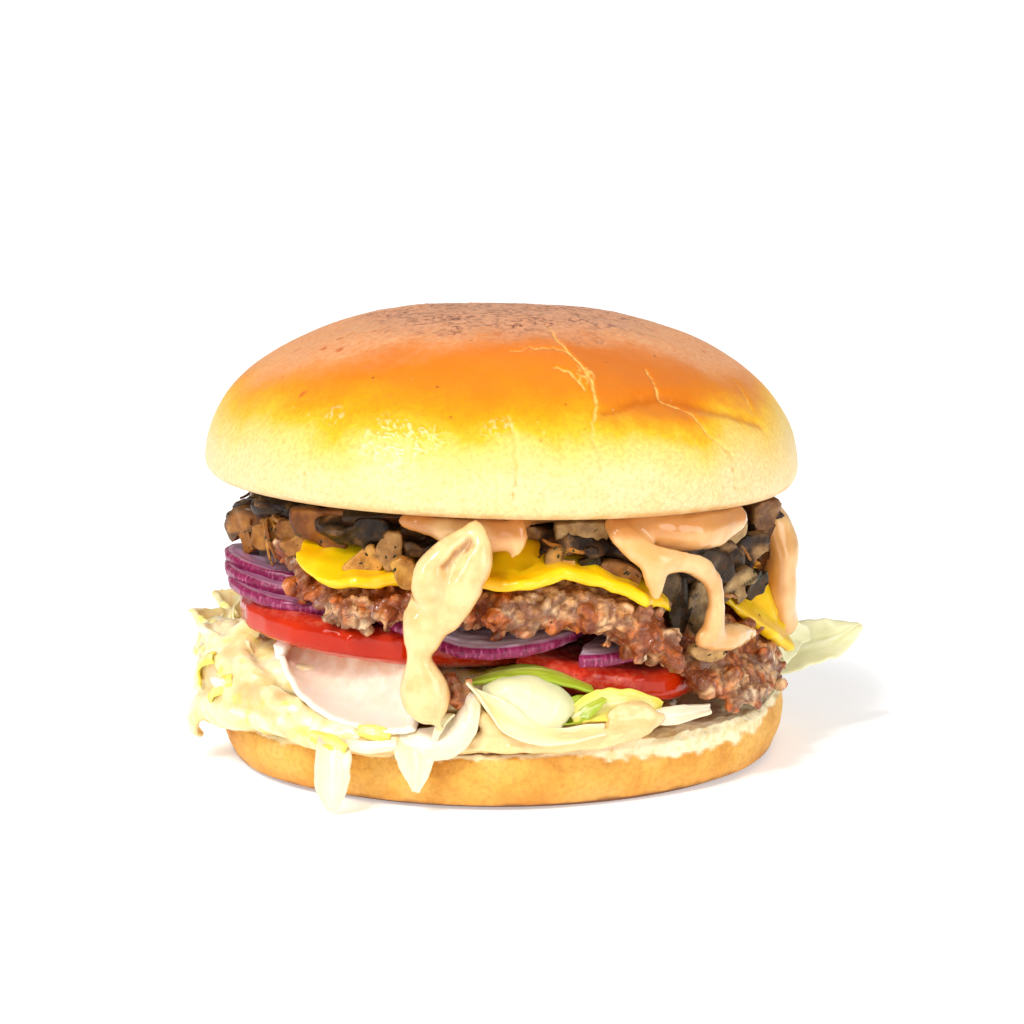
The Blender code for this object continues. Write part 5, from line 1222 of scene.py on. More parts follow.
sauceValues = {
    "voxel": 0.62,
    "smoothing": 8,
    "poolVoxel": 0.7,
    "poolSmoothing": 5,
    "rip": [(-5.4, 52.4), (-9.8, 48.0)],  # x and z of its two ends
    "ripDepth": 0.75,
    "spreadHeight": 54.2,
    "spreadThickness": 1.8,
    # angle and reach of the spread under the crown
    "spread": [(-180, 44), (-140, 44), (-112, 44), (-106, 48), (-100, 54), (-92, 56), (-86, 53), (-81, 45),
               (-72, 45), (-68, 51), (-60, 56), (-48, 56), (-36, 55), (-28, 50), (-14, 50), (0, 52), (30, 47),
               (60, 52), (90, 46), (120, 52), (150, 45), (180, 44)],
    # runs of sauce: x, y, z and the half width and half depth there
    "runs": [
        # the long run in front
        [(-4.4, -58.0, 54.4, 1.6, 1.4), (-3.9, -59.8, 51.6, 2.3, 2.1), (-4.2, -60.8, 48.4, 3.0, 2.7),
         (-6.0, -61.0, 44.6, 3.6, 2.9), (-8.4, -60.6, 40.8, 3.6, 2.7), (-10.2, -60.2, 37.6, 3.2, 2.4)],
        [(-5.4, -58.4, 53.6, 1.4, 1.4), (-9.2, -60.2, 50.8, 2.4, 2.2), (-12.4, -61.2, 47.2, 3.0, 2.7),
         (-13.2, -61.6, 43.6, 3.1, 2.8), (-12.6, -61.2, 41.2, 2.6, 2.4)],
        [(-8.4, -59.0, 46.0, 4.2, 2.0), (-10.6, -59.4, 41.6, 5.2, 2.2), (-13.0, -59.9, 38.2, 4.9, 2.5),
         (-14.0, -60.0, 34.6, 3.8, 2.9), (-14.9, -60.1, 31.4, 2.3, 2.3), (-14.9, -60.1, 28.8, 2.5, 2.5),
         (-14.3, -60.0, 26.4, 3.6, 3.2), (-13.8, -59.8, 23.4, 4.8, 4.0), (-13.4, -59.8, 21.0, 3.6, 3.2)],
        [(-12.4, -60.8, 20.0, 1.8, 1.4), (-11.6, -61.2, 18.4, 0.8, 0.7), (-10.8, -61.4, 16.8, 0.5, 0.5)],
        [(-14.4, -60.8, 20.0, 1.4, 1.2), (-14.6, -61.2, 18.8, 0.6, 0.6)],
        # the curtain behind its head
        [(-17.4, -51.2, 54.6, 1.4, 1.2), (-12.6, -53.0, 54.0, 2.4, 1.5), (-6.0, -54.4, 52.4, 4.2, 1.8),
         (-0.6, -54.4, 52.0, 4.0, 1.8), (2.4, -54.2, 53.2, 2.4, 1.6)],
        [(3.0, -54.0, 54.4, 1.8, 1.4), (3.4, -54.4, 52.0, 1.7, 1.4), (2.9, -54.8, 49.8, 1.3, 1.1),
         (2.6, -55.0, 48.9, 0.7, 0.7)],
        [(-6.6, -54.6, 51.0, 2.2, 1.4), (-9.0, -54.8, 49.4, 1.4, 1.1)],
        # the web over the mushrooms, its tip and the arch
        [(21.4, -50.6, 53.8, 2.0, 1.5), (24.2, -52.4, 51.2, 2.7, 1.7), (27.4, -53.2, 48.4, 3.2, 1.9),
         (30.4, -52.6, 47.4, 3.0, 1.8), (34.2, -50.6, 46.8, 2.3, 1.7), (38.0, -47.6, 45.0, 2.1, 1.7),
         (40.7, -45.2, 41.8, 1.9, 1.6), (41.4, -44.6, 38.0, 1.7, 1.5), (40.9, -44.6, 34.4, 1.9, 1.6),
         (41.0, -43.6, 31.4, 2.6, 1.8)],
        [(28.6, -53.2, 47.6, 3.0, 1.8), (29.2, -53.4, 44.4, 2.0, 1.6), (29.4, -53.4, 41.0, 1.0, 1.0)],
        # what it coats at the right
        [(38.8, -44.6, 30.8, 1.8, 1.5), (42.0, -41.6, 30.4, 3.2, 1.9), (45.7, -37.0, 29.6, 3.0, 1.5),
         (49.4, -30.0, 28.8, 1.6, 1.0)],
        # the thick fold under the crown
        [(22.0, -48.5, 54.0, 1.8, 2.6), (26.5, -48.0, 53.2, 2.8, 3.8), (31.0, -46.5, 52.2, 3.4, 4.2),
         (39.0, -41.5, 51.4, 3.8, 4.2), (45.0, -34.6, 52.2, 2.6, 3.0)],
        # the broad run at the far right
        [(49.0, -1.0, 51.6, 2.6, 2.2), (54.0, -3.2, 48.2, 5.4, 3.0), (57.0, -4.6, 42.6, 6.4, 3.6),
         (57.2, -5.4, 36.5, 5.6, 3.3), (57.4, -5.6, 31.0, 5.4, 3.2), (58.2, -4.4, 26.8, 4.6, 2.8)],
        # runs at the back
        [(26.5, 48.0, 53.2, 4.0, 2.4), (28.5, 52.5, 49.0, 4.6, 3.0), (29.5, 55.5, 42.0, 3.6, 2.5),
         (29.0, 55.8, 37.0, 3.8, 2.7)],
        [(-24.0, 46.0, 53.8, 4.0, 2.4), (-26.0, 50.0, 50.0, 4.4, 2.9), (-27.5, 53.0, 45.0, 3.0, 2.3)],
    ],
    # runs and folds of the pool on the heel
    "pool": [
        [(-24, -55.0, 13.4, 3.0, 2.2), (-10, -57.8, 13.0, 2.4, 2.2), (2, -58.4, 13.4, 2.4, 2.0),
         (12, -57.8, 13.6, 2.6, 2.0), (21, -55.4, 14.2, 2.6, 2.2), (27, -51.6, 15.4, 2.2, 2.0),
         (30.5, -48.6, 16.4, 1.6, 1.6)],
        [(-5.6, -56.4, 22.0, 1.4, 1.2), (-3.8, -57.6, 19.0, 1.9, 1.4), (-1.0, -58.0, 16.6, 2.4, 1.8)],
        [(21.4, -53.8, 17.8, 1.6, 1.4), (25.2, -51.6, 18.6, 2.1, 1.7), (28.0, -49.8, 17.8, 1.7, 1.5)],
        [(-8, 57.0, 13.6, 3.4, 2.4), (6, 57.4, 13.8, 3.6, 2.6), (20, 54.6, 14.2, 3.4, 2.4)],
    ],
}


def runsOfSauce(runs, name):
    # each run is a row of balls close together, which the remesh melts into one
    stands = []
    for run in runs:
        for x, y, z, wide, deep in smoothPath(run, 5):
            turn = Matrix.Rotation(math.atan2(y, x) + math.pi / 2, 4, "Z")
            stands.append(Matrix.Translation((x, y, z)) @ turn @ stretched((wide, deep, (wide + deep) / 2)))
    return copiesOf(addBlob(name, 2), stands, name)


def makeSpread():
    # the thin layer under the crown
    v = sauceValues
    deselectAll()
    bpy.ops.mesh.primitive_cylinder_add(vertices=144, radius=1.0, depth=2.0)
    spread = bpy.context.active_object
    ball = pointsOf(spread) * mm
    angle = np.degrees(np.arctan2(ball[:, 1], ball[:, 0]))
    reach = np.interp(angle, *zip(*v["spread"]))
    x, y = reach * np.cos(np.radians(angle)), reach * np.sin(np.radians(angle))
    z = v["spreadHeight"] + crownValues["cutSlope"] * x + ball[:, 2] * v["spreadThickness"] / 2
    movePoints(spread, np.stack([x, y, z], axis=1))
    return spread


def paintTurnedShade(sauce):
    # painted shade: the sauce is painted deeper in colour where its surface turns away from the outside
    points, normals = pointsOf(sauce), normalsOf(sauce)
    outward = points[:, :2] / np.maximum(reachOf(points), 1)[:, None]
    facing = np.sum(normals[:, :2] * outward, axis=1) + 0.5 * np.maximum(normals[:, 2], 0)
    paintValue(sauce, "turned", ease((0.78 - facing + 0.15 * waves(points, 3, 61)) / 0.75))


def makeUpperSauce():
    v = sauceValues
    pieces = [makeSpread(), runsOfSauce(v["runs"], "upperRuns")]
    sauce = remeshed(joinPieces(pieces, "upperSauce"), v["voxel"], v["smoothing"])
    points, normals = pointsOf(sauce), normalsOf(sauce)
    calm = 1 - 0.6 * (points[:, 1] < -57) * (np.abs(points[:, 0] + 10) < 10)
    relief = 0.25 + calm * (0.55 * waves(points, 5.0, 2) + 0.12 * waves(points, 2.2, 3))
    points += normals * relief[:, None]
    # crease where a torn mushroom shows through the head of the long run
    start, end = np.array(v["rip"])
    run = points[:, [0, 2]] - start
    along = np.clip(run @ (end - start) / np.sum((end - start) ** 2), 0, 1)
    beside = np.linalg.norm(run - along[:, None] * (end - start), axis=1) + 0.5 * waves(points, 1.4, 31)
    torn = np.exp(-(beside / 0.9) ** 2) * (points[:, 1] < -55)
    points -= normals * (v["ripDepth"] * torn)[:, None]
    # the head hangs over the lower part of the run
    hem = np.exp(-((points[:, 2] - 41.8 - 0.28 * (points[:, 0] + 11)) / 1.0) ** 2) * (points[:, 1] < -57)
    points -= normals * (0.3 * hem * (np.abs(points[:, 0] + 11) < 9))[:, None]
    movePoints(sauce, points)
    paintValue(sauce, "torn", torn)
    # the long run in front is paler than the rest
    away = np.hypot((points[:, 0] + 10) / 11, (points[:, 1] + 61) / 6)
    paintValue(sauce, "paler", ease((1.25 - away) / 0.5))
    # what hangs in the shade of the crown looks deeper
    shaded = lobe(points[:, 0], -8, 12) * (points[:, 1] > -57) * ease((points[:, 2] - 46) / 3)
    shaded = ease((points[:, 2] - 50.6) / 2.4) + shaded
    paintValue(sauce, "shaded", np.minimum(shaded, 1) * (1 - ease((1.25 - away) / 0.5)))
    paintTurnedShade(sauce)
    return sauce


def makeLowerSauce():
    v = sauceValues
    pieces = [copyOfNode("sauce_lower", "lowerSauce"), runsOfSauce(v["pool"], "poolRuns")]
    sauce = remeshed(joinPieces(pieces, "lowerSauce"), v["poolVoxel"], v["poolSmoothing"])
    points, normals = pointsOf(sauce), normalsOf(sauce)
    pleats = 1 - 3 * np.abs(waves(points * np.array([0.6, 1, 1.6]), 4.4, 5))
    relief = 0.45 * waves(points, 4.6, 2) + 0.4 * pleats + 0.12 * waves(points, 2.0, 4) - 0.3
    points += normals * relief[:, None]
    movePoints(sauce, points)
    paintValue(sauce, "paler", np.full(len(points), 0.6))
    for name in ("torn", "shaded"):
        paintValue(sauce, name, np.zeros(len(points)))
    paintTurnedShade(sauce)
    return sauce


def makeSauceMaterial(name, light, dark):
    material, tree, shader = startMaterial(
        name, Roughness=0.25, Subsurface_Weight=0.2, Subsurface_Scale=0.002, Specular_IOR_Level=0.25,
        Coat_Weight=0.9, Coat_Roughness=0.04, Specular_Tint=(1.0, 0.8, 0.55, 1.0),
        Subsurface_Radius=(1.0, 0.65, 0.35))
    base = ramp(tree, cloud(tree, 8, 3), [(0.35, dark), (0.62, light)])
    base = blended(tree, times(tree, painted(tree, "shaded"), 0.8), base, (190, 116, 46))
    pale = ramp(tree, cloud(tree, 5, 4, 0.6), [(0.36, (228, 186, 122)), (0.58, (240, 208, 148))])
    base = blended(tree, painted(tree, "paler"), base, pale)
    # painted shade where the surface turns away from the outside
    base = blended(tree, times(tree, painted(tree, "turned"), 0.7), base, (222, 154, 82))
    base = blended(tree, spanned(tree, "torn", 0.3, 0.9, 0.0, 0.75), base, (170, 104, 52))
    specks = spanned(tree, cells(tree, 3.1), 0.09, 0.06, 0.0, 0.5)
    specks = times(tree, specks, spanned(tree, cloud(tree, 9), 0.5, 0.6))
    plug(shader, Base_Color=blended(tree, specks, base, (150, 92, 44)),
         Normal=bumped(tree, cloud(tree, 3.2, 3), 0.08))
    return material


peachSauce = makeSauceMaterial("peachSauce", (242, 198, 138), (228, 170, 102))
creamSauce = makeSauceMaterial("creamSauce", (250, 226, 166), (240, 204, 136))
upperSauce = finishPiece(makeUpperSauce(), peachSauce, "sauce", "sauce_upper")
lowerSauce = finishPiece(makeLowerSauce(), creamSauce, "sauce", "sauce_lower")
print("sauce done", len(upperSauce.data.polygons), len(lowerSauce.data.polygons))


# lettuce leaves that show as pieces

leafValues = {
    # node: spine points, half widths, direction across, cupping, ruffle, waves along, tint, thickness
    "leaf_hanging": ([(-31, -50.5, 14.0), (-31.0, -57.5, 11.6), (-31.3, -60.2, 6.0), (-31.4, -59.2, 0.9)],
                     [3.0, 3.4, 3.3, 0.8], (1, 0.1, 0), 0.15, 0.15, 2.0, "white", 0.9),
    "leaf_tip": ([(-15.6, -54, 13.8), (-15.6, -59.3, 12.4), (-15.5, -60.6, 8.4), (-15.6, -60.2, 4.8)],
                 [4.2, 4.2, 2.6, 0.4], (1, 0, 0), 0.1, 0.25, 1.6, "pale", 0.8),
    "leaf_green": ([(-6.5, -51.5, 23.4), (0, -51.8, 25.6), (8, -51.6, 25.8), (17.5, -49.5, 22.2)],
                   [2.2, 3.0, 3.0, 2.6], (0, 1, 0.1), -0.15, 0.3, 2.0, "green", 0.8),
    "leaf_pale": ([(13.5, -54.6, 17.6), (19.0, -52.8, 19.4), (25.0, -50.5, 19.6), (31.0, -46.5, 17.8)],
                  [1.4, 3.2, 2.8, 0.8], (0.1, 0.5, 0.85), 0.2, 0.4, 2.5, "yellow", 0.6),
    "leaf_right": ([(26.5, -50.0, 16.0), (33.5, -47.6, 16.4), (40.5, -43.0, 16.6)], [0.7, 2.1, 0.7],
                   (0.2, 0.6, 0.75), 0.2, 0.3, 2.0, "white", 0.8),
    "leaf_far_right": ([(50, -3, 17.5), (60, 1, 19.0), (69, 4.5, 20.5), (75.4, 7.2, 23.0)],
                       [5.0, 5.6, 4.2, 0.7], (0.0, 0.62, 0.8), 0.2, 0.7, 3.0, "pale", 0.6),
    "leaf_back_1": ([(40, 40, 15), (30, 49, 18), (18, 57, 16), (8, 59.2, 12)], [2.0, 6.0, 5.0, 1.0],
                    (0.1, -0.42, 0.9), -0.3, 0.6, 2.5, "green", 0.7),
    "leaf_back_2": ([(4, 55, 20), (-8, 57, 18), (-20, 55, 17), (-30, 51, 20)], [2.0, 5.4, 5.0, 1.6],
                    (0, -0.42, 0.9), -0.3, 0.6, 2.5, "pale", 0.7),
    "leaf_back_3": ([(-34, 46, 22), (-43, 42, 17), (-52, 36, 14), (-58, 28, 16)], [2.0, 5.6, 5.2, 1.4],
                    (0.1, -0.42, 0.9), -0.3, 0.6, 2.5, "white", 0.7),
}
bowlValues = {
    # node: free edge, hidden edge, how far it bellies in, thickness, how far the free edge rolls out, tint
    "leaf_cup": ([(-43.6, -34.6, 27.6), (-42.2, -38.4, 24.2), (-40.3, -41.8, 21.3), (-37.0, -46.2, 18.2),
                  (-31.9, -50.4, 15.8), (-25.4, -54.4, 14.6), (-19.2, -57.4, 14.8), (-15.8, -58.6, 16.0)],
                 [(-41.6, -30.6, 28.0), (-39.0, -31.4, 28.0), (-34.0, -35.4, 27.4), (-28.8, -39.8, 27.2),
                  (-23.8, -43.0, 27.0), (-19.0, -46.0, 27.0), (-16.4, -49.4, 26.2), (-15.2, -52.8, 22.5)],
                 3.4, 1.3, 1.9, "blush"),
    "leaf_shell": ([(-3.0, -55.6, 20.6), (0.6, -57.6, 19.6), (4.7, -58.4, 18.0), (8.3, -58.2, 16.4),
                    (11.0, -56.6, 15.8)],
                   [(-2.9, -53.2, 23.2), (0.5, -53.6, 24.8), (5.8, -53.4, 25.2), (10.8, -52.8, 23.4),
                    (14.4, -52.8, 19.8)],
                   -2.6, 0.8, -0.8, "pale"),
    "leaf_curl": ([(-23.0, -54.6, 13.4), (-19.7, -57.2, 11.9), (-13.9, -59.9, 10.6), (-8.2, -60.8, 11.9),
                   (-4.7, -60.4, 15.5), (-3.6, -59.2, 19.7), (-4.3, -57.0, 22.2)],
                  [(-22.4, -53.2, 14.8), (-18.7, -55.2, 15.2), (-13.9, -56.8, 15.8), (-9.6, -57.2, 17.2),
                   (-7.0, -57.2, 19.4), (-5.7, -56.6, 21.4), (-4.9, -55.8, 22.6)],
                  -1.1, 1.1, -0.3, "white"),
}
leafBits = [
    # small torn bits between the leaves, in the same order of values
    ([(-35.6, -52.2, 13.6), (-32.0, -56.2, 13.4), (-28.6, -58.0, 12.2)], [0.8, 1.7, 0.6], (0.2, 0.4, 0.9), 0.3,
     0.7, 2, "yellow", 0.6),
    ([(-6.0, -57.8, 25.0), (-1.9, -59.4, 21.0), (3.6, -60.0, 16.9), (11.4, -59.0, 14.8), (20.0, -56.4, 15.4)],
     [0.7, 2.0, 2.8, 2.8, 0.8], (0.1, 0.75, 0.65), 0.3, 0.8, 3, "coated", 0.5),
    ([(10.6, -54.2, 16.6), (14.6, -53.8, 18.4), (19.6, -52.2, 21.0)], [1.8, 3.0, 1.6], (-0.3, 0.7, 0.65), 0.4,
     0.9, 2, "green", 0.4),
    ([(-56.8, -27.5, 23.6), (-60.0, -22.0, 21.0), (-60.6, -18.6, 16.2)], [1.0, 2.0, 0.7], (0.2, 0.5, 0.85), 0.3,
     0.4, 2, "yellow", 0.6),
    ([(-29.0, -56.4, 13.0), (-24.5, -58.6, 12.8), (-19.0, -59.4, 13.6)], [0.8, 1.4, 0.9], (0.1, 0.4, 0.9), 0.2,
     0.2, 2, "white", 0.9),
    ([(-26.5, -55.8, 15.4), (-23.0, -57.2, 15.2), (-20.4, -57.6, 14.4)], [0.8, 1.9, 0.8], (0.1, 0.4, 0.9), 0.2,
     0.3, 2, "yellow", 0.6),
    ([(-9.0, -58.4, 19.0), (-10.6, -60.2, 18.2), (-12.0, -60.6, 15.0)], [1.2, 1.0, 0.4], (1, 0.2, 0.2), 0.2,
     0.2, 2, "pale", 0.5),
    ([(57.0, -8.0, 20.0), (60.0, -2.0, 22.5), (64.0, 2.0, 22.0)], [2.6, 3.4, 1.0], (0.2, 0.6, 0.8), 0.3, 0.5, 2,
     "pale", 0.6),
    ([(-52.5, -33.5, 20.0), (-56.0, -30.0, 18.0), (-57.6, -27.0, 14.4)], [1.2, 2.4, 0.8], (0.1, 0.5, 0.85), 0.3,
     0.4, 2, "yellow", 0.6),
    ([(10.0, 57.0, 14.0), (14.0, 59.4, 9.0), (13.0, 59.6, 5.0)], [3.0, 3.0, 0.6], (1, 0.1, 0), 0.2, 0.3, 2,
     "pale", 0.7),
    ([(-20.0, 55.0, 13.0), (-24.0, 58.4, 9.5), (-25.0, 58.8, 6.0)], [3.0, 2.8, 0.6], (1, 0.2, 0), 0.2, 0.3, 2,
     "white", 0.7),
    ([(50.0, 25.0, 19.0), (56.5, 28.0, 17.0), (59.5, 29.0, 13.0)], [3.0, 3.4, 0.8], (-0.4, 1, 0), 0.3, 0.5, 2,
     "pale", 0.7),
]
leafFinish = {
    "across": 18,
    "steps": 16,
    "bowlAcross": 22,
    "bowlSteps": 9,
}


def leafStart():
    shape = bmesh.new()
    layers = shape.verts.layers.float
    return shape, layers.new("vein"), layers.new("rim")


def leafOf(shape, grid, name, thickness):
    # faces between the rows of points, given a thickness and rounded
    for near, far in zip(grid, grid[1:]):
        for k in range(len(near) - 1):
            shape.faces.new((near[k], far[k], far[k + 1], near[k + 1]))
    leaf = pieceOf(shape, name)
    applyModifier(leaf, "SOLIDIFY", thickness=thickness * mm, offset=0.0, use_even_offset=False)
    applyModifier(leaf, "SUBSURF", levels=1, render_levels=1)
    return leaf


def leafSheet(name, row, seed, steps, across, thickness):
    # a leaf laid along its spine
    points, widths, side, cup, ruffle, count = row[:6]
    path = smoothPath(points, steps)
    halves = np.interp(np.linspace(0, len(widths) - 1, len(path)), range(len(widths)), widths)
    halves = np.convolve(np.pad(halves, 4, mode="edge"), np.ones(9) / 9, mode="valid")
    hint = Vector(side).normalized()
    shape, vein, rimLayer = leafStart()
    grid = []
    last = len(path) - 1
    for i, middle in enumerate(path):
        along = Vector(path[min(i + 1, last)] - path[max(i - 1, 0)]).normalized()
        over = (hint - along * hint.dot(along)).normalized()
        normal = along.cross(over)
        rowVerts = []
        for k in range(across + 1):
            w = 2 * k / across - 1
            wave = ruffle * math.sin(count * math.pi * i / last + 2.2 * w + seed) * (0.3 + abs(w))
            frill = 0.5 * ruffle * noise.noise(Vector((i / last * 9, w * 1.5, seed))) * w * w * 2
            ragged = noise.noise(Vector((i / last * 11, w, seed * 2.1)))
            edge = 1 + min(0.35 * ruffle, 0.16) * ragged * abs(w)
            raised = cup * halves[i] * w * w + wave + frill
            place = Vector(middle) + over * (halves[i] * w * edge) + normal * raised
            ribs = abs(math.sin(2.6 * math.pi * w + 0.8 * math.sin(i / last * 5 + seed)))
            ribs = (1 - ribs) ** 3
            mid = math.exp(-(w / 0.12) ** 2) * (1 - 0.7 * i / last)
            place += normal * 0.22 * (ribs * 0.7 + mid)
            vert = shape.verts.new(place)
            vert[vein] = min(1.0, 0.6 * ribs + mid)
            vert[rimLayer] = max(abs(w), (i / last - 0.8) / 0.2 if i / last > 0.8 else 0.0)
            rowVerts.append(vert)
        grid.append(rowVerts)
    return leafOf(shape, grid, name, thickness)


def leafBowl(name, row, steps, across):
    # a leaf spanned between its free edge and its hidden edge
    free, hidden, belly, thickness, roll = row[:5]
    freePath, hiddenPath = smoothPath(free, steps), smoothPath(hidden, steps)
    # both edges are walked in as many steps as the longer one
    count = max(len(freePath), len(hiddenPath))
    freePath = [freePath[round(i * (len(freePath) - 1) / (count - 1))] for i in range(count)]
    hiddenPath = [hiddenPath[round(i * (len(hiddenPath) - 1) / (count - 1))] for i in range(count)]
    shape, vein, rimLayer = leafStart()
    grid = []
    for i in range(count):
        near, far = Vector(freePath[i]), Vector(hiddenPath[i])
        along = Vector(freePath[min(i + 1, count - 1)] - freePath[max(i - 1, 0)]).normalized()
        inward = (far - near).cross(along).normalized()
        if inward.x * near.x + inward.y * near.y > 0:
            inward = -inward
        ends = math.sin(math.pi * min(max(i / (count - 1), 0.04), 0.96)) ** 0.5
        rowVerts = []
        for k in range(across + 1):
            t = k / across
            place = near + (far - near) * t
            place += inward * belly * math.sin(math.pi * t) ** 0.8 * ends
            place -= inward * roll * math.exp(-(t / 0.2) ** 2) * ends
            wander = noise.noise(Vector((t * 2, i * 0.08, len(name))))
            ribs = (1 - abs(math.sin(0.55 * i + 1.6 * wander))) ** 3
            ribs *= math.sin(math.pi * min(t * 1.1, 1.0))
            place += inward * (0.45 * noise.noise(Vector((i * 0.16, t * 2.5, belly))) - 0.26 * ribs)
            place.z += 0.35 * noise.noise(Vector((i * 0.3, 4.0, belly))) * (1 - t)
            vert = shape.verts.new(place)
            vert[vein] = 0.8 * ribs
            vert[rimLayer] = math.exp(-(t / 0.34) ** 4)
            rowVerts.append(vert)
        grid.append(rowVerts)
    return leafOf(shape, grid, name, thickness)


leafTints = {
    # colours of the middle, the edge and the veins
    "white": ((240, 226, 198), (236, 218, 184), (246, 238, 218)),
    "blush": ((240, 206, 174), (247, 238, 218), (250, 234, 212)),
    "pale": ((226, 224, 172), (236, 232, 188), (244, 242, 214)),
    "yellow": ((244, 230, 146), (238, 222, 92), (250, 242, 190)),
    "green": ((180, 190, 66), (160, 178, 38), (226, 230, 146)),
    "coated": ((246, 222, 156), (250, 234, 182), (242, 214, 138)),
}


def makeLeafMaterial(tint):
    middle, edge, veins = leafTints[tint]
    material, tree, shader = startMaterial(
        "lettuce" + tint.title(), Roughness=0.36, Subsurface_Weight=0.35, Subsurface_Scale=0.002,
        Specular_IOR_Level=0.35, Coat_Weight=0.25, Coat_Roughness=0.1, Subsurface_Radius=(1.0, 0.9, 0.4))
    if tint == "blush":
        # the leaf's own pale blush, with painted shade: the inside of the large leaf is painted tan where it
        # goes under the tomato
        level = plus(tree, heightOf(tree), spanned(tree, cloud(tree, 5), 0.3, 0.7, -2, 2))
        middle = ramp(tree, spanned(tree, level, 16, 28),
                      [(0.1, (248, 232, 210)), (0.55, (243, 214, 186)), (0.95, (226, 172, 130))])
    rim = plus(tree, painted(tree, "rim"), spanned(tree, cloud(tree, 5, 3), 0.3, 0.7, -0.35, 0.35))
    body = blended(tree, spanned(tree, rim, 0.2, 0.8), middle, edge)
    cloudy = times(tree, spanned(tree, cloud(tree, 3.5, 3, 0.6), 0.4, 0.65), 0.5)
    body = blended(tree, cloudy, body, edge)
    veined = blended(tree, spanned(tree, "vein", 0.3, 1.0, 0.0, 0.8), body, veins)
    plug(shader, Base_Color=veined, Normal=bumped(tree, cloud(tree, 2.0, 4, 0.6), 0.16))
    return material


leafMaterials = {tint: makeLeafMaterial(tint) for tint in leafTints}
leaves = []
for i, (node, row) in enumerate(leafValues.items()):
    leaf = leafSheet(node.replace("leaf_", "leaf").replace("_", ""), row, i + 1, leafFinish["steps"],
                     leafFinish["across"], row[7])
    leaves.append(finishPiece(leaf, leafMaterials[row[6]], "lettuce", node))
for node, row in bowlValues.items():
    leaf = leafBowl(node.replace("leaf_", "leaf"), row, leafFinish["bowlSteps"], leafFinish["bowlAcross"])
    leaves.append(finishPiece(leaf, leafMaterials[row[5]], "lettuce", node))
for i, row in enumerate(leafBits):
    steps, across = leafFinish["steps"] // 2, leafFinish["across"] // 2
    leaf = leafSheet("leafBit%d" % (i + 1), row, i + 20, steps, across, row[7])
    leaves.append(finishPiece(leaf, leafMaterials[row[6]], "lettuce"))
print("leaves done", sum(len(piece.data.polygons) for piece in leaves))


# lettuce heap and its loose shreds

shredValues = {
    "seed": 5,
    "count": 110,
    "leftCount": 66,  # of these, how many lie at the left, where the heap is bare
    "voxel": 0.66,
    "smoothing": 4,
    # angle, reach and height of the heap's rim
    "rim": [(-180, 60, 25), (-165, 61, 26), (-150, 59, 27), (-138, 56, 27), (-125, 51, 25), (-110, 49, 24),
            (-90, 49, 23), (-72, 46, 18.5), (-55, 40, 17), (-35, 34, 17), (-10, 35, 17.5), (10, 42, 18.5),
            (35, 49, 19), (60, 51, 20), (90, 52, 22), (120, 51, 24), (150, 53, 25), (180, 60, 25)],
    # lowest and highest corner that a loose shred may reach
    "limits": ([-64.4, -63.5, 4.0], [70.0, 60.2, 31.0]),
    # long soft folds: x, y, z and the half height and half depth there
    "folds": [
        [(-58.6, -12.0, 11.6, 3.6, 2.6), (-57.0, -21.0, 12.4, 5.0, 3.2), (-51.6, -31.0, 14.4, 6.6, 3.8),
         (-46.4, -38.0, 15.6, 6.2, 3.8), (-40.8, -43.8, 15.4, 5.6, 3.5), (-34.6, -49.2, 13.8, 4.6, 3.0),
         (-28.0, -52.6, 12.8, 3.8, 2.6), (-21.0, -54.6, 12.4, 3.0, 2.4)],
        [(-59.0, -4.0, 19.5, 5.0, 3.0), (-58.4, -13.0, 18.0, 6.4, 3.4), (-55.4, -22.0, 20.6, 6.0, 3.4),
         (-51.0, -29.6, 21.6, 4.6, 3.0), (-46.6, -35.2, 18.4, 4.0, 2.8)],
        [(-57.0, -9.0, 25.6, 2.6, 2.4), (-54.4, -17.0, 26.2, 3.0, 2.8), (-50.4, -25.0, 25.6, 2.6, 2.4)],
        [(-57.0, 2.0, 17.0, 5.0, 3.2), (-57.5, 10.0, 19.0, 5.6, 3.2), (-53.0, 22.0, 16.0, 5.0, 3.2),
         (-45.0, 35.0, 15.0, 4.4, 3.0), (-34.0, 45.0, 16.0, 4.0, 2.6)],
        [(34.0, 38.0, 15.0, 3.4, 2.6), (42.0, 28.0, 15.4, 3.8, 3.0), (47.0, 17.0, 15.0, 3.4, 2.6)],
    ],
}


def bedRim(angle):
    angles, reaches, heights = zip(*shredValues["rim"])
    return np.interp(angle, angles, reaches), np.interp(angle, angles, heights)


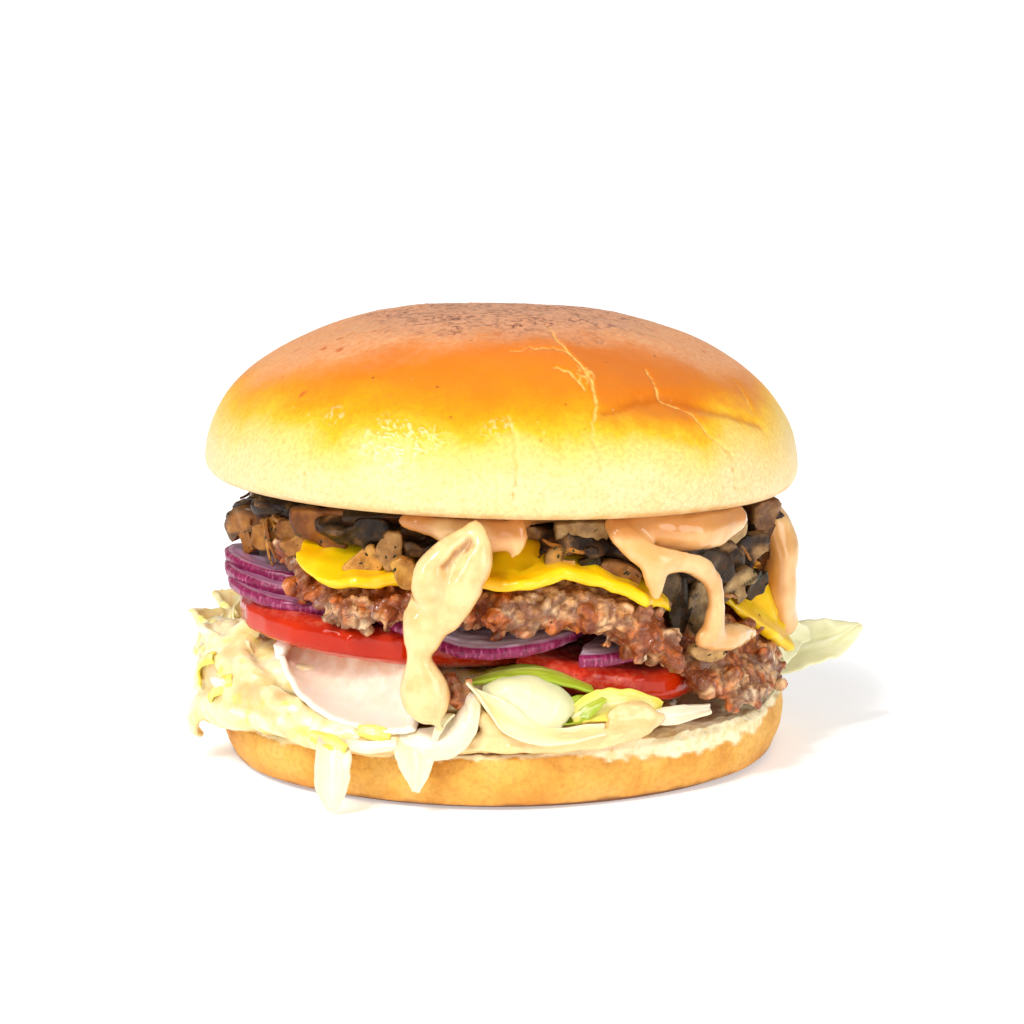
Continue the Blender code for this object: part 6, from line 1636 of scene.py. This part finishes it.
def makeShreds():
    v = shredValues
    draw = random.Random(v["seed"])
    shreds = []
    for i in range(v["count"]):
        angle = draw.uniform(-180, 180)
        if i < v["leftCount"]:
            angle = draw.uniform(-192, -151)
        elif -146 < angle < -80:
            continue
        angle = (angle + 180) % 360 - 180
        reach, top = bedRim(angle)
        out = Vector((math.cos(math.radians(angle)), math.sin(math.radians(angle)), 0))
        level = 14 + (top - 14.5) * draw.uniform(0, 1) ** 0.9
        bulge = 1 - 0.16 * (2 * (level - 12) / (top - 12) - 1) ** 2
        centre = out * (reach * bulge - draw.uniform(0.4, 2.2)) + Vector((0, 0, level))
        across = Vector((-out.y, out.x, 0)) * draw.choice((-1, 1))
        run = (across * draw.uniform(0.4, 1) + Vector((0, 0, draw.uniform(-0.7, 0.7)))).normalized()
        length = draw.uniform(5, 10)
        bow = draw.uniform(0.6, 2.2)
        points = [centre - run * length - out * bow, centre - run * length * 0.4 + out * bow * 0.4,
                  centre + run * length * 0.4 + out * bow * 0.5, centre + run * length - out * bow]
        wide = draw.uniform(1.3, 2.8)
        row = ([tuple(p) for p in points], [wide * 0.4, wide, wide * 0.9, wide * 0.3],
               tuple(Vector((0, 0, 1)) + out * draw.uniform(-0.3, 0.8)), draw.uniform(-0.4, 0.5), 0.5, 2.0)
        if i % 2:
            row[0][:] = [tuple(Vector(p) + out * 0.7) for p in row[0]]
            row[1][:] = [1.35 * half for half in row[1]]
        shreds.append(leafSheet("shred%d" % i, row, draw.uniform(0, 30), 3 + 2 * (i % 2), 4 + 2 * (i % 2),
                                0.55 if i % 2 else 0.9))
    return shreds[::2], shreds[1::2]


def makeLettuceHeap(sunk):
    folds = runsOfSauce(shredValues["folds"], "folds")
    pieces = [copyOfNode("lettuce_heap", "lettuceHeap"), folds] + sunk
    heap = remeshed(joinPieces(pieces, "lettuceHeap"), shredValues["voxel"], shredValues["smoothing"])
    points, normals = pointsOf(heap), normalsOf(heap)
    turn = np.arctan2(points[:, 1], points[:, 0])
    bent = np.stack([turn * 55 / 10, points[:, 2] / 4.8 + 0.9 * waves(points, 9, 1), reachOf(points) / 9],
                    axis=1)
    folds = 1 - 2.4 * np.abs(waves(bent, 1.0, 5))
    points += normals * (0.5 * folds + 0.16 * waves(points, 1.9, 4) - 0.2)[:, None]
    # behind the large leaf the heap stays back
    back = 2.2 * lobe(np.degrees(turn), -124, 20) * ease((points[:, 2] - 19) / 3)
    points[:, :2] *= (1 - back / np.maximum(reachOf(points), 1))[:, None]
    low, high = [np.array(corner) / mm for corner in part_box("lettuce_heap")]
    points = np.clip(points, [low[0], low[1] - 8, low[2]], [high[0] + 10, high[1] + 8, high[2] + 2])
    movePoints(heap, points)
    paintValue(heap, "fold", folds)
    return heap


def makeHeapMaterial():
    material, tree, shader = startMaterial(
        "coatedLettuce", Roughness=0.26, Subsurface_Weight=0.4, Subsurface_Scale=0.0025,
        Specular_IOR_Level=0.35, Coat_Weight=0.4, Coat_Roughness=0.07, Subsurface_Radius=(1.0, 0.75, 0.4))
    cream = ramp(tree, cloud(tree, 5, 3), [(0.35, (240, 206, 140)), (0.6, (251, 230, 176))])
    leafy = ramp(tree, cloud(tree, 6, 3, 0.5, 0.6, stretch=(1, 1, 1.6)),
                 [(0.4, (250, 240, 204)), (0.6, (250, 232, 150)), (0.7, (240, 226, 80))])
    mixed = blended(tree, spanned(tree, cloud(tree, 7, 3, 0.5, 0.3), 0.44, 0.54), cream, leafy)
    # painted shade: the hollows between the folds are painted tan
    final = blended(tree, spanned(tree, "fold", 0.35, -0.2, 0.0, 0.55), mixed, (226, 178, 112))
    plug(shader, Base_Color=final, Normal=bumped(tree, cloud(tree, 2.6, 4, 0.6), 0.2))
    return material


sunkShreds, looseShreds = makeShreds()
heap = finishPiece(makeLettuceHeap(sunkShreds), makeHeapMaterial(), "lettuce", "lettuce_heap")
loose = joinPieces(looseShreds, "looseShreds")
movePoints(loose, np.clip(pointsOf(loose), *shredValues["limits"]))
loose = finishPiece(loose, leafMaterials["coated"], "lettuce")
print("lettuce heap done", len(heap.data.polygons), len(loose.data.polygons))


# floor, light and camera

stageValues = {
    "floorSize": 60.0,
    "floorGlow": 0.36,
    "worldLight": 0.33,
    "worldSeen": 1.3,
    "lens": 99.4,
    "sensor": 36,
    "cameraPlace": (0.0024, -0.574, 0.140),
    "cameraTilt": 9.1,
    # name: kind, place, aim, power and settings
    "lights": {
        "softKey": ("SUN", (-0.48, -0.62, 0.9), (0, 0, 0.05), 1.4, {"angle": math.radians(24.0)}),
        "crispKey": ("SUN", (-0.36, -0.7, 0.9), (0, 0, 0.05), 0.6, {"angle": math.radians(4.0)}),
        "softFill": ("AREA", (0.7, -0.6, 0.3), (0, 0, 0.04), 3.2, {"shape": "DISK", "size": 0.6}),
        "softFront": ("AREA", (-0.15, -1.0, 0.12), (0, 0, 0.05), 0.9, {"shape": "DISK", "size": 0.5}),
        "tallStrip": ("AREA", (-0.68, -0.56, 0.42), (0, 0, 0.045), 1.9,
                      {"shape": "RECTANGLE", "size": 0.11, "size_y": 0.42}),
        "softTop": ("AREA", (0.1, 0.1, 1.0), (0, 0, 0), 1.5, {"shape": "DISK", "size": 1.2}),
    },
}


def addFloor():
    deselectAll()
    bpy.ops.mesh.primitive_plane_add(size=stageValues["floorSize"], location=(0, 0, 0))
    floor = bpy.context.active_object
    floor.name = "paleFloor"
    material, tree, shader = startMaterial(
        "paleFloor", Roughness=0.6, Specular_IOR_Level=0.2, Emission_Color=(1, 1, 1, 1),
        Emission_Strength=stageValues["floorGlow"])
    tone = ramp(tree, cloud(tree, 900, 2), [(0.3, (250, 250, 250)), (0.7, (252, 252, 252))])
    plug(shader, Base_Color=tone)
    floor.data.materials.append(material)


def addLight(name, kind, place, target, power, settings):
    deselectAll()
    bpy.ops.object.light_add(type=kind, location=place)
    light = bpy.context.active_object
    light.name = name
    light.data.energy = power
    light.rotation_euler = (Vector(target) - Vector(place)).to_track_quat("-Z", "Y").to_euler()
    for setting, value in settings.items():
        setattr(light.data, setting, value)


def addWorld():
    world = bpy.data.worlds.new("softWhite")
    bpy.context.scene.world = world
    world.use_nodes = True
    tree = world.node_tree
    tree.nodes.clear()
    seen = addNode(tree, "Background", {"Color": (1, 1, 1, 1), "Strength": stageValues["worldSeen"]})
    lit = addNode(tree, "Background", {"Color": (1, 1, 1, 1), "Strength": stageValues["worldLight"]})
    path = tree.nodes.new("ShaderNodeLightPath")
    mix = addNode(tree, "MixShader", {0: path.outputs["Is Camera Ray"], 1: lit.outputs[0], 2: seen.outputs[0]})
    out = tree.nodes.new("ShaderNodeOutputWorld")
    tree.links.new(mix.outputs[0], out.inputs["Surface"])


def addCamera():
    data = bpy.data.cameras.new("photoView")
    data.lens = stageValues["lens"]
    data.sensor_width = stageValues["sensor"]
    camera = bpy.data.objects.new("photoView", data)
    bpy.context.scene.collection.objects.link(camera)
    camera.location = stageValues["cameraPlace"]
    camera.rotation_euler = (math.radians(90 - stageValues["cameraTilt"]), 0, 0)
    bpy.context.scene.camera = camera


addFloor()
for name, row in stageValues["lights"].items():
    addLight(name, *row)
addWorld()
addCamera()
bpy.context.scene.view_settings.view_transform = "Standard"
print("stage done")
